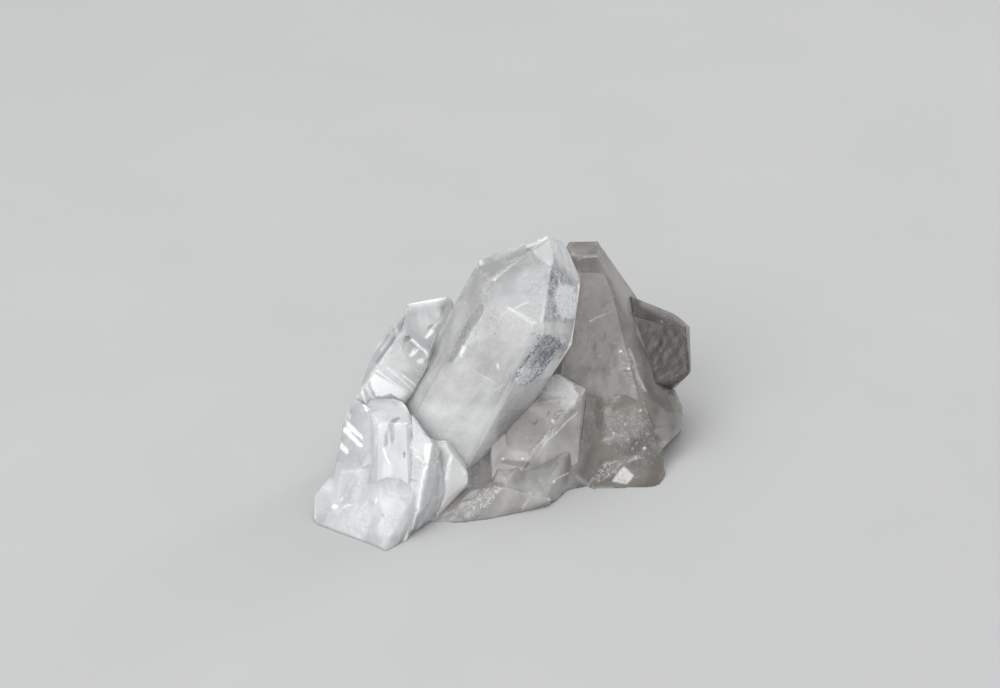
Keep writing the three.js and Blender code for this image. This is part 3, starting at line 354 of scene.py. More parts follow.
    ('root', 'white', 'line', [(25.98, 7.86), (26.12, 7.86)], 0.25, 0.16, 0.5),
    ('back_right', 'white', 'line', [(31.43, 1.71), (31.58, 1.71)], 0.24, 0.16, 0.375),
    ('root', 'white', 'line', [(31.24, 1.88), (31.38, 1.88)], 0.3, 0.16, 0.5),
    ('back_right', 'white', 'line', [(29.51, 6.3), (29.65, 6.3)], 0.16000000000000003, 0.16, 0.44999999999999996),
    ('root', 'white', 'line', [(29.34, 6.42), (29.49, 6.42)], 0.2, 0.16, 0.6),
    ('back_right', 'white', 'line', [(31.68, 5.33), (31.82, 5.33)], 0.144, 0.16, 0.375),
    ('root', 'white', 'line', [(31.57, 5.41), (31.72, 5.41)], 0.18, 0.16, 0.5),
    ('back_right', 'white', 'line', [(34.33, 7.51), (34.48, 7.51)], 0.24, 0.16, 0.22499999999999998),
    ('root', 'white', 'line', [(34.31, 7.52), (34.46, 7.52)], 0.3, 0.16, 0.3),
    ('back_right', 'white', 'line', [(24.92, 5.09), (25.06, 5.09)], 0.16000000000000003, 0.16, 0.30000000000000004),
    ('root', 'white', 'line', [(24.72, 5.28), (24.86, 5.28)], 0.2, 0.16, 0.4),
    ('back_right', 'white', 'line', [(30.71, 4.13), (30.86, 4.13)], 0.16000000000000003, 0.16, 0.30000000000000004),
    ('root', 'white', 'line', [(30.55, 4.25), (30.7, 4.25)], 0.2, 0.16, 0.4),
    ('back_right', 'white', 'poly', [(25.71, -3.84), (26.92, -1.91), (28.61, -0.22), (31.01, -2.62), (29.32, -4.55), (26.43, -4.08)], 0.0, 0.15, 0.62),
    ('back_right', 'spark', 'poly', [(21.13, -3.12), (23.54, 0.5), (27.16, 1.47), (28.37, 0.27), (25.71, -2.63), (22.81, -3.84)], 0.0, 0.4, 0.8),
    ('back_right', 'spark', 'poly', [(24.27, 12.81), (32.48, 14.51), (36.33, 8.47), (35.85, 0.27), (28.13, 0.75), (23.79, 6.06)], 0.0, 1.0, 0.3),
    ('back_right', 'light', 'poly', [(24.27, 12.81), (31.03, 15.23), (33.44, 8.47), (29.09, 4.61), (24.27, 6.06)], 0.0, 1.2, 0.1),
    ('back_right', 'light', 'poly', [(31.03, 6.06), (36.09, 6.06), (36.07, -1.17), (31.51, -0.7)], 0.0, 1.0, -0.08),
    ('back_right', 'light', 'line', [(41.65, 18.07), (43.25, 13.4), (42.69, 8.32), (38.27, 4.61)], 0.9, 0.8, 0.16),
    ('back_right', 'light', 'line', [(17.25, -2.44), (20.58, -5.28), (25.33, -5.27)], 0.5, 0.4, 0.22),
    ('root', 'white', 'poly', [(25.44, -3.51), (26.68, -1.64), (28.39, 0.0), (30.74, -2.35), (29.02, -4.22), (26.16, -3.74)], 0.0, 0.15, 0.62),
    ('root', 'spark', 'poly', [(20.91, -2.8), (23.34, 0.74), (26.97, 1.65), (28.16, 0.47), (25.47, -2.34), (22.57, -3.51)], 0.0, 0.4, 0.8),
    ('root', 'spark', 'poly', [(24.29, 12.8), (32.64, 14.44), (36.37, 8.46), (35.64, 0.43), (27.93, 0.94), (23.59, 6.24)], 0.0, 1.0, 0.3),
    ('root', 'light', 'poly', [(24.29, 12.8), (31.2, 15.16), (33.44, 8.47), (28.92, 4.75), (24.07, 6.23)], 0.0, 1.2, 0.1),
    ('root', 'light', 'poly', [(30.9, 6.15), (36.05, 6.09), (35.84, -0.98), (31.26, -0.47)], 0.0, 1.0, -0.08),
    ('root', 'light', 'line', [(41.88, 18.01), (43.34, 13.37), (42.66, 8.33), (38.21, 4.64)], 0.9, 0.8, 0.16),
    ('root', 'light', 'line', [(17.3, -2.52), (20.63, -5.37), (25.4, -5.36)], 0.5, 0.4, 0.22),
    ('far_right', 'light', 'line', [(34.09, 39.25), (36.52, 38.27), (41.39, 36.56), (44.43, 33.86)], 1.2, 1.0, 0.22),
    ('far_right', 'light', 'line', [(44.43, 33.86), (45.58, 28.26), (44.79, 21.95)], 0.3, 0.25, 0.2),
    ('far_right', 'light', 'poly', [(36.54, 31.42), (43.36, 32.63), (44.31, 27.78), (43.28, 22.45), (40.35, 20.03), (37.96, 25.35)], 0.0, 0.8, -0.22),
    ('root', 'spark', 'poly', [(-42.99, -10.33), (-39.97, -7.31), (-37.66, -5.46), (-33.75, -2.25), (-32.51, -3.36), (-35.44, -7.22), (-38.24, -9.32), (-41.07, -10.51)], 0.0, 0.5, 0.8),
    ('root', 'white', 'poly', [(-40.87, -9.14), (-40.19, -7.99), (-39.21, -8.66), (-39.91, -9.35)], 0.0, 0.15, 0.85),
    ('root', 'white', 'poly', [(-38.78, -7.28), (-38.33, -6.37), (-38.06, -7.27)], 0.0, 0.12, 0.8),
    ('root', 'white', 'line', [(-38.01, -8.86), (-37.07, -8.39), (-36.12, -8.37)], 0.2, 0.12, 0.7),
    ('root', 'white', 'line', [(-38.65, -0.89), (-36.25, -0.5), (-33.06, -0.13)], 0.25, 0.2, 0.3),
    ('root', 'spark', 'poly', [(-35.92, -7.23), (-32.56, -8.3), (-31.44, -15.02), (-34.3, -13.97)], 0.0, 0.8, 0.4),
    ('root', 'spark', 'poly', [(-8.83, -9.25), (-6.03, -5.15), (-3.21, -3.79), (0.56, -4.05), (-1.32, -5.56), (-3.67, -8.57), (-6.48, -10.86), (-8.35, -12.0), (-9.76, -10.85)], 0.0, 0.4, 1.0),
    ('root', 'light', 'poly', [(-15.44, -8.64), (-10.27, -6.55), (-6.5, -5.6), (-9.53, -11.08), (-14.21, -12.0)], 0.0, 0.8, -0.1),
    ('root', 'light', 'poly', [(-29.27, -7.1), (-21.32, -7.47), (-23.37, -13.92), (-28.6, -15.15)], 0.0, 1.5, 0.1),
    ('root', 'light', 'line', [(-45.04, -6.49), (-45.16, -12.26), (-37.38, -14.27), (-31.4, -17.03), (-27.82, -18.47)], 0.7, 0.6, 0.2),
    ('root', 'pale', 'poly', [(-48.4, 20.76), (-12.65, 20.74), (-8.43, -0.62), (-8.65, -4.08), (-11.94, -5.68), (-14.94, -10.2), (-16.79, -12.24), (-24.83, -23.9), (-50.58, -23.78)], 0.0, 0.5, 1.0),
    ('root', 'white', 'line', [(-34.19, 18.04), (-33.48, 15.9), (-32.76, 13.75)], 0.28, 0.15, 0.95),
    ('root', 'white', 'line', [(-33.24, 19.47), (-32.29, 17.32), (-31.34, 16.37)], 0.3, 0.2, 0.55),
    ('root', 'white', 'poly', [(-38.08, 11.7), (-37.36, 10.98), (-33.76, 7.85), (-33.52, 6.65), (-36.88, 9.06), (-38.32, 10.5)], 0.0, 0.12, 0.9),
    ('root', 'white', 'poly', [(-38.75, 10.28), (-37.79, 9.8), (-34.06, 6.12), (-33.53, 5.14), (-34.5, 5.19), (-38.5, 8.84)], 0.0, 0.12, 0.95),
    ('root', 'white', 'poly', [(-40.1, 7.04), (-39.37, 6.55), (-37.18, 4.6), (-37.18, 3.38), (-38.39, 3.87), (-40.1, 5.58)], 0.0, 0.12, 0.85),
    ('root', 'light', 'line', [(-38.05, 10.51), (-33.73, 6.19)], 0.15, 0.1, -0.25),
    ('root', 'white', 'poly', [(-37.51, 13.05), (-36.8, 12.81), (-36.8, 11.38), (-37.51, 11.62)], 0.0, 0.15, 0.55),
    ('root', 'light', 'poly', [(-38.79, 4.1), (-33.5, 4.92), (-31.63, 1.29), (-36.78, -0.07), (-39.72, 0.32)], 0.0, 0.5, -0.1),
    ('root', 'light', 'poly', [(-1.32, 12.87), (-0.6, 12.86), (0.11, 4.93), (-1.8, 2.84), (-3.69, -1.1), (-4.17, -0.64)], 0.0, 0.3, 0.12),
    ('root', 'light', 'poly', [(-1.09, 1.21), (0.1, 1.9), (2.24, 1.43), (4.62, 1.42), (6.04, 0.72), (4.85, -0.21), (2.95, 0.03), (1.52, 0.27), (-0.14, 0.74)], 0.0, 0.25, -0.75),
    ('root', 'light', 'poly', [(-0.61, 0.28), (5.33, -0.22), (4.37, -2.57), (0.57, -2.52)], 0.0, 0.6, -0.18),
    ('root', 'white', 'line', [(11.29, -3.38), (12.73, -2.45), (14.89, -1.53)], 0.16, 0.1, 0.75),
    ('root', 'white', 'line', [(11.58, -3.39), (11.73, -3.39)], 0.22, 0.12, 0.9),
    ('root', 'light', 'poly', [(3.42, -0.67), (12.97, 0.16), (14.41, -5.58), (5.74, -7.98)], 0.0, 1.2, 0.14),
    ('root', 'light', 'poly', [(0.09, -4.03), (5.8, -3.06), (10.47, -7.57), (-1.32, -10.23)], 0.0, 1.0, 0.14),
    ('root', 'white', 'poly', [(-18.93, 5.92), (-17.27, 6.15), (-17.59, 3.59), (-17.92, 1.5), (-18.63, 1.97), (-19.02, 4.06)], 0.0, 0.12, 1.0),
    ('root', 'white', 'poly', [(-19.08, 0.34), (-18.38, 1.04), (-18.6, -0.58), (-19.18, -1.04)], 0.0, 0.15, 0.95),
    ('root', 'white', 'line', [(-18.15, 1.27), (-19.29, -1.73), (-19.95, -5.18), (-20.56, -9.72), (-21.58, -13.6)], 0.22, 0.14, 0.55),
    ('root', 'white', 'line', [(-22.22, 4.3), (-20.54, 2.9), (-19.1, 1.85)], 0.15, 0.1, 0.8),
    ('root', 'white', 'line', [(-21.76, 5.23), (-20.32, 3.83)], 0.15, 0.1, 0.6),
    ('root', 'spark', 'line', [(-19.5, 10.1), (-17.52, 6.84)], 0.5, 0.3, 1.0),
    ('root', 'spark', 'poly', [(-22.7, 5.0), (-19.13, 3.59), (-19.31, -0.58), (-22.12, -1.95)], 0.0, 0.5, 0.6),
    ('root', 'light', 'poly', [(-29.43, -4.97), (-20.69, -2.88), (-21.8, -14.05), (-29.1, -13.83)], 0.0, 2.0, 0.08),
    ('root', 'white', 'line', [(-30.12, -6.67), (-30.2, -8.02)], 0.2, 0.12, 0.7),
    ('main', 'light', 'poly', [(-3.17, 43.07), (-1.32, 46.36), (7.94, 49.15), (10.48, 47.29), (9.77, 41.25), (9.29, 38.47), (8.11, 33.15), (1.9, 37.06), (-3.86, 39.84)], 0.0, 0.3, -0.2),
    ('main', 'light', 'poly', [(-6.23, 48.39), (5.18, 51.76), (7.01, 49.62), (-1.32, 46.84), (-3.63, 43.55), (-6.45, 46.47)], 0.0, 0.5, -0.14),
    ('main', 'light', 'poly', [(-11.66, 39.1), (-9.51, 39.99), (-8.31, 38.08), (-10.66, 33.44), (-13.03, 29.0)], 0.0, 0.8, 0.12),
    ('front_right', 'light', 'poly', [(8.26, 19.65), (12.37, 22.27), (15.91, 20.14), (16.99, 17.34), (16.25, 14.51), (14.11, 13.56), (8.21, 16.84)], 0.0, 0.6, 0.22),
    ('front_left', 'light', 'poly', [(-30.69, 16.44), (-26.6, 17.76), (-23.8, 15.89), (-21.22, 11.44), (-16.77, 6.53), (-17.71, 3.26), (-20.26, -10.74), (-24.51, -15.06), (-29.92, -11.68)], 0.0, 0.5, -0.06),
    ('back_right', 'light', 'poly', [(35.51, 22.45), (39.5, 18.06), (42.47, 12.69), (39.42, 13.23), (35.42, 16.66)], 0.0, 0.6, 0.1),
    ('back_right', 'light', 'poly', [(37.41, 14.47), (41.99, 14.39), (42.39, 8.35), (38.29, 6.04), (36.09, 8.47)], 0.0, 0.8, 0.12),
    ('root', 'light', 'poly', [(37.54, 14.42), (42.04, 14.37), (42.48, 8.3), (38.26, 6.07), (36.12, 8.46)], 0.0, 0.8, 0.12),
    ('far_right', 'light', 'poly', [(36.31, 32.63), (44.95, 33.86), (45.76, 27.78), (44.3, 21.47), (37.44, 20.51)], 0.0, 0.8, -0.12),
    ('main', 'spark', 'poly', [(-4.56, 39.39), (1.44, 36.6), (-0.17, 32.47), (-5.97, 29.0), (-8.3, 27.37), (-5.95, 34.32)], 0.0, 0.8, 0.45),
    ('main', 'spark', 'poly', [(-1.32, 39.37), (9.3, 32.47), (5.62, 27.38), (0.99, 30.16)], 0.0, 0.8, 0.35),
    ('main', 'light', 'poly', [(-18.99, 14.86), (-1.79, 16.15), (-4.69, -2.22), (-17.95, 0.5)], 0.0, 2.5, 0.22),
    ('main', 'light', 'poly', [(-6.23, 48.39), (5.18, 51.76), (7.01, 49.62), (-1.32, 46.84), (-3.63, 43.55), (-6.45, 46.47)], 0.0, 0.5, -0.14),
    ('main', 'light', 'poly', [(6.32, 50.55), (10.53, 53.86), (12.09, 53.24), (11.2, 48.49), (10.48, 47.29), (7.94, 48.68)], 0.0, 0.3, -0.22),
    ('main', 'light', 'poly', [(13.16, 43.25), (15.64, 42.43), (16.9, 39.65), (15.9, 35.37), (13.18, 35.31)], 0.0, 0.6, 0.22),
    ('main', 'light', 'poly', [(10.51, 31.55), (12.71, 30.17), (11.82, 27.36), (8.31, 22.89), (4.3, 19.62), (2.17, 20.86), (5.63, 26.45)], 0.0, 0.3, 0.22),
    ('back_right', 'light', 'poly', [(30.08, 30.2), (32.1, 31.17), (35.04, 25.35), (39.25, 18.54), (42.47, 12.69), (39.41, 12.75), (35.42, 16.18), (33.46, 20.06), (31.53, 25.85)], 0.0, 0.5, 0.08),
    ('left', 'light', 'poly', [(-23.64, 35.81), (-23.84, 32.52), (-28.6, 26.41), (-32.97, 19.55), (-34.25, 20.77), (-31.78, 26.16), (-28.38, 30.65), (-24.81, 34.63)], 0.0, 0.4, -0.12),
    ('main', 'light', 'poly', [(-18.99, 14.86), (-1.79, 16.15), (-4.69, -2.22), (-17.95, 0.5)], 0.0, 2.5, 0.1),
    ('main', 'light', 'poly', [(13.16, 43.25), (15.64, 42.43), (16.9, 39.65), (15.9, 35.37), (13.18, 35.31)], 0.0, 0.6, 0.2),
    ('main', 'light', 'poly', [(8.12, 34.3), (13.92, 34.39), (14.91, 31.59), (10.75, 31.79), (8.39, 30.62)], 0.0, 0.4, 0.12),
    ('back_right', 'light', 'poly', [(14.47, 53.54), (17.63, 54.51), (22.32, 54.34), (23.22, 51.59), (16.84, 50.55)], 0.0, 0.4, -0.08),
    ('front_right', 'light', 'poly', [(6.97, 5.3), (17.23, 13.06), (20.13, 11.12), (18.88, 4.22), (16.84, -1.83), (8.17, -3.05)], 0.0, 0.8, 0.1),
    ('front_right', 'light', 'poly', [(-0.37, 13.76), (5.33, 13.54), (9.36, 11.19), (9.34, 7.66), (5.78, 3.65), (1.05, 4.1), (0.34, 6.45)], 0.0, 0.35, -0.1),
    ('main', 'light', 'poly', [(-11.66, 39.1), (-9.51, 39.99), (-8.31, 38.08), (-10.66, 33.44), (-13.03, 29.0)], 0.0, 0.8, 0.1),
    ('main', 'light', 'poly', [(-6.21, 45.99), (-3.64, 44.97), (-3.63, 40.76), (-6.43, 40.84)], 0.0, 0.6, -0.12),
    ('far_right', 'light', 'poly', [(36.31, 32.63), (44.95, 33.86), (45.76, 27.78), (44.3, 21.47), (37.44, 20.51)], 0.0, 0.8, -0.12),
    ('front_right', 'light', 'poly', [(8.74, 20.13), (15.85, 20.65), (16.74, 16.87), (9.4, 16.84)], 0.0, 0.5, 0.14),
    ('front_right', 'light', 'poly', [(8.16, 6.48), (16.54, 6.36), (15.87, -2.05), (8.17, -1.85)], 0.0, 0.8, 0.08),
    ('front_right', 'light', 'poly', [(-0.37, 13.76), (5.33, 13.54), (9.36, 11.19), (9.34, 7.66), (5.78, 3.65), (1.05, 4.1), (0.34, 6.45)], 0.0, 0.3, -0.1),
    ('front_left', 'light', 'poly', [(-29.72, -5.91), (-22.23, -5.84), (-22.65, -15.26), (-29.66, -15.36)], 0.0, 1.0, 0.12),
    ('root', 'light', 'poly', [(-29.8, -6.01), (-22.51, -6.32), (-22.69, -15.36), (-29.55, -15.18)], 0.0, 1.0, 0.12),
    ('root', 'light', 'poly', [(-43.86, -4.89), (-35.16, -2.72), (-34.79, -13.53), (-43.9, -12.4)], 0.0, 1.0, 0.1),
    ('main', 'light', 'poly', [(10.73, 42.91), (17.15, 43.21), (16.41, 34.83), (9.78, 35.25)], 0.0, 0.6, 0.1),
    ('main', 'spark', 'poly', [(-19.01, 16.03), (-1.32, 19.68), (-3.72, -1.02), (-17.96, -0.71)], 0.0, 2.0, 0.22),
    ('main', 'spark', 'poly', [(-8.31, 39.49), (1.44, 36.6), (-1.32, 25.52), (-13.06, 16.09), (-15.39, 20.8)], 0.0, 1.5, 0.25),
    ('back_right', 'light', 'poly', [(31.26, 36.04), (33.66, 34.62), (37.36, 27.76), (40.84, 18.51), (39.26, 19.27), (35.05, 25.84), (31.85, 31.17)], 0.0, 0.4, 0.1),
    ('back_right', 'light', 'poly', [(35.01, 23.42), (39.52, 19.51), (41.5, 16.09), (38.43, 15.17), (34.94, 18.11)], 0.0, 0.8, 0.12),
    ('main', 'light', 'poly', [(8.12, 34.76), (14.41, 34.87), (15.41, 31.59), (10.75, 31.55), (8.39, 30.62)], 0.0, 0.5, 0.16),
    ('front_right', 'light', 'poly', [(-0.37, 13.76), (5.33, 13.54), (9.36, 11.19), (9.34, 7.66), (5.78, 3.65), (1.05, 4.1), (0.34, 6.45)], 0.0, 0.3, 0.06),
    ('front_small', 'light', 'poly', [(-14.7, 1.54), (-9.34, -0.46), (-10.28, -5.66), (-14.44, -5.44)], 0.0, 0.6, 0.08),
    ('main', 'light', 'poly', [(11.7, 43.18), (17.14, 42.97), (16.65, 36.33), (11.71, 36.22)], 0.0, 0.8, 0.14),
    ('front_right', 'light', 'poly', [(-1.32, 14.68), (12.93, 14.74), (19.92, 8.48), (17.26, -2.7), (-0.14, -2.93)], 0.0, 1.0, 0.07),
]


# names of the CAD nodes that each visual piece stands for, and its finish slot
PIECES = {
    'main': ('main_crystal', 'clear_quartz'),
    'left': ('left_crystal', 'clear_quartz'),
    'front_left': ('front_left_crystal', 'milky_quartz'),
    'front_small': ('front_small_crystal', 'milky_quartz'),
    'front_right': ('front_right_crystal', 'grey_quartz'),
    'back_right': ('back_right_crystal', 'grey_quartz'),
    'far_right': ('far_right_crystal', 'grey_quartz'),
}

FRONT_RIGHT = np.array((1.0, 0.0, 0.0))
FRONT_UP = np.array((0.0, 0.5, math.sqrt(3) / 2))
FRONT_IN = np.array((0.0, math.sqrt(3) / 2, -0.5))


# ---------------------------------------------------------------- camera
scene = bpy.context.scene
cam_data = bpy.data.cameras.new('camera')
cam_data.lens = 100.0
cam_data.sensor_width = 36.0
cam_data.clip_start = 0.01
cam_data.clip_end = 50.0
camera = bpy.data.objects.new('camera', cam_data)
camera.location = (-0.001324, -0.567674, 0.361503)
camera.rotation_euler = (math.radians(60), 0.0, 0.0)
scene.collection.objects.link(camera)
scene.camera = camera


# ---------------------------------------------------------------- small maths
def smooth(a, b, x):
    t = np.clip((x - a) / (b - a + 1e-12), 0.0, 1.0)
    return t * t * (3 - 2 * t)


def hash3(ix, iy, iz, seed):
    h = (ix * 374761393 + iy * 668265263 + iz * 2147483647 * 3 + seed * 974711) & 0xFFFFFFFF
    h = (h ^ (h >> 13)) * 1274126177 & 0xFFFFFFFF
    h = (h ^ (h >> 16)) * 2246822519 & 0xFFFFFFFF
    h = h ^ (h >> 15)
    return (h & 0xFFFFFF) / float(0xFFFFFF)


def vnoise(p, seed=0):
    """Value noise, -1..1, on points in any unit."""
    f = np.floor(p).astype(np.int64)
    t = p - f
    t = t * t * t * (t * (t * 6 - 15) + 10)
    out = np.zeros(len(p))
    for dx in (0, 1):
        for dy in (0, 1):
            for dz in (0, 1):
                w = (np.where(dx, t[:, 0], 1 - t[:, 0]) * np.where(dy, t[:, 1], 1 - t[:, 1])
                     * np.where(dz, t[:, 2], 1 - t[:, 2]))
                out += w * hash3(f[:, 0] + dx, f[:, 1] + dy, f[:, 2] + dz, seed)
    return out * 2 - 1


def fbm(p, seed=0, octaves=4, gain=0.5):
    out = np.zeros(len(p))
    a = 1.0
    tot = 0.0
    for k in range(octaves):
        out += a * vnoise(p * 2.03 ** k, seed + 17 * k)
        tot += a
        a *= gain
    return out / tot


def cells(p, seed=0):
    """Nearest and second nearest feature distance, and the id of the nearest cell."""
    f = np.floor(p).astype(np.int64)
    d1 = np.full(len(p), 9.0)
    d2 = np.full(len(p), 9.0)
    ident = np.zeros(len(p))
    off = np.zeros((len(p), 3))
    for dx in (-1, 0, 1):
        for dy in (-1, 0, 1):
            for dz in (-1, 0, 1):
                cx, cy, cz = f[:, 0] + dx, f[:, 1] + dy, f[:, 2] + dz
                q = np.stack([cx + hash3(cx, cy, cz, seed), cy + hash3(cx, cy, cz, seed + 1),
                              cz + hash3(cx, cy, cz, seed + 2)], 1)
                v = p - q
                d = np.sqrt((v ** 2).sum(1))
                near = d < d1
                d2 = np.where(near, d1, np.minimum(d2, d))
                ident = np.where(near, hash3(cx, cy, cz, seed + 3), ident)
                off = np.where(near[:, None], v, off)
                d1 = np.where(near, d, d1)
    return d1, d2, ident, off


# ---------------------------------------------------------------- polytopes
def clip(poly, n, d):
    out = []
    m = len(poly)
    for i in range(m):
        a, b = poly[i], poly[(i + 1) % m]
        da, db = a @ n - d, b @ n - d
        if da <= 1e-9:
            out.append(a)
        if (da < -1e-9 and db > 1e-9) or (da > 1e-9 and db < -1e-9):
            t = da / (da - db)
            out.append(a + (b - a) * t)
    return out


def basis(n):
    a = np.array((0.0, 0.0, 1.0)) if abs(n[2]) < 0.9 else np.array((1.0, 0.0, 0.0))
    u = np.cross(a, n)
    u /= np.linalg.norm(u)
    return u, np.cross(n, u)


def faces_of(planes):
    """Polygon of every plane (n, d) of a convex body n.x <= d, anticlockwise outside."""
    out = []
    for i, (n, d) in enumerate(planes):
        u, v = basis(n)
        c = n * d
        s = 400.0
        poly = [c - u * s - v * s, c + u * s - v * s, c + u * s + v * s, c - u * s + v * s]
        for j, (m, e) in enumerate(planes):
            if j != i:
                if abs(n @ m - 1) < 1e-9 and abs(d - e) < 1e-9 and j < i:
                    poly = []
                poly = clip(poly, m, e)
                if len(poly) < 3:
                    break
        if len(poly) >= 3:
            q = [poly[0]]
            for p in poly[1:]:
                if np.linalg.norm(p - q[-1]) > 1e-5:
                    q.append(p)
            if np.linalg.norm(q[0] - q[-1]) < 1e-5:
                q.pop()
            out.append(np.array(q) if len(q) >= 3 else None)
        else:
            out.append(None)
    return out


def chamfered(planes, rng, width):
    """Adds a narrow facet along every edge that isn't on the floor."""
    polys = faces_of(planes)
    on = {}
    for i, poly in enumerate(polys):
        if poly is None:
            continue
        for a in range(len(poly)):
            p, q = poly[a], poly[(a + 1) % len(poly)]
            key = tuple(sorted([tuple(np.round(p, 3)), tuple(np.round(q, 3))]))
            on.setdefault(key, []).append(i)
    extra = []
    edges = []
    for (p, q), fs in on.items():
        p, q = np.array(p), np.array(q)
        L = np.linalg.norm(p - q)
        if len(fs) != 2 or L < 0.05:
            continue
        a, b = planes[fs[0]][0], planes[fs[1]][0]
        if a[2] < -0.99 or b[2] < -0.99:
            continue
        n = a + b
        n /= np.linalg.norm(n)
        phi = math.acos(max(-1, min(1, float(a @ b))))
        w = width * (0.7 + 0.6 * rng.random()) * min(1.0, 0.35 + L / 8)
        c = w * math.tan(phi / 2) / 2
        t = rng.normal(size=3) * 0.03
        n2 = n + t - n * (t @ n)
        n2 /= np.linalg.norm(n2)
        extra.append((n2, float(min(n2 @ p, n2 @ q)) - c))
        edges.append((p, q, n, phi))
    return planes + extra, edges, len(planes)


def in_polygon_2d(pts, poly):
    x, y = pts[:, 0], pts[:, 1]
    inside = np.zeros(len(pts), bool)
    m = len(poly)
    for i in range(m):
        x0, y0 = poly[i]
        x1, y1 = poly[(i + 1) % m]
        if y0 == y1:
            continue
        cross = ((y0 > y) != (y1 > y)) & (x < (x1 - x0) * (y - y0) / (y1 - y0) + x0)
        inside ^= cross
    return inside


def seg_distance(pts, a, b):
    ab = b - a
    L = (ab ** 2).sum()
    t = np.clip(((pts - a) @ ab) / (L + 1e-12), 0, 1)
    return np.sqrt(((pts - a - t[:, None] * ab) ** 2).sum(1)), t


def poly_distance(pts, poly, closed=True):
    """Signed distance to a 2-D polygon, negative inside; plain distance if open."""
    poly = np.asarray(poly, float)
    m = len(poly)
    d = np.full(len(pts), 1e9)
    for i in range(m if closed else m - 1):
        d = np.minimum(d, seg_distance(pts, poly[i], poly[(i + 1) % m])[0])
    if closed:
        d = np.where(in_polygon_2d(pts, poly), -d, d)
    return d


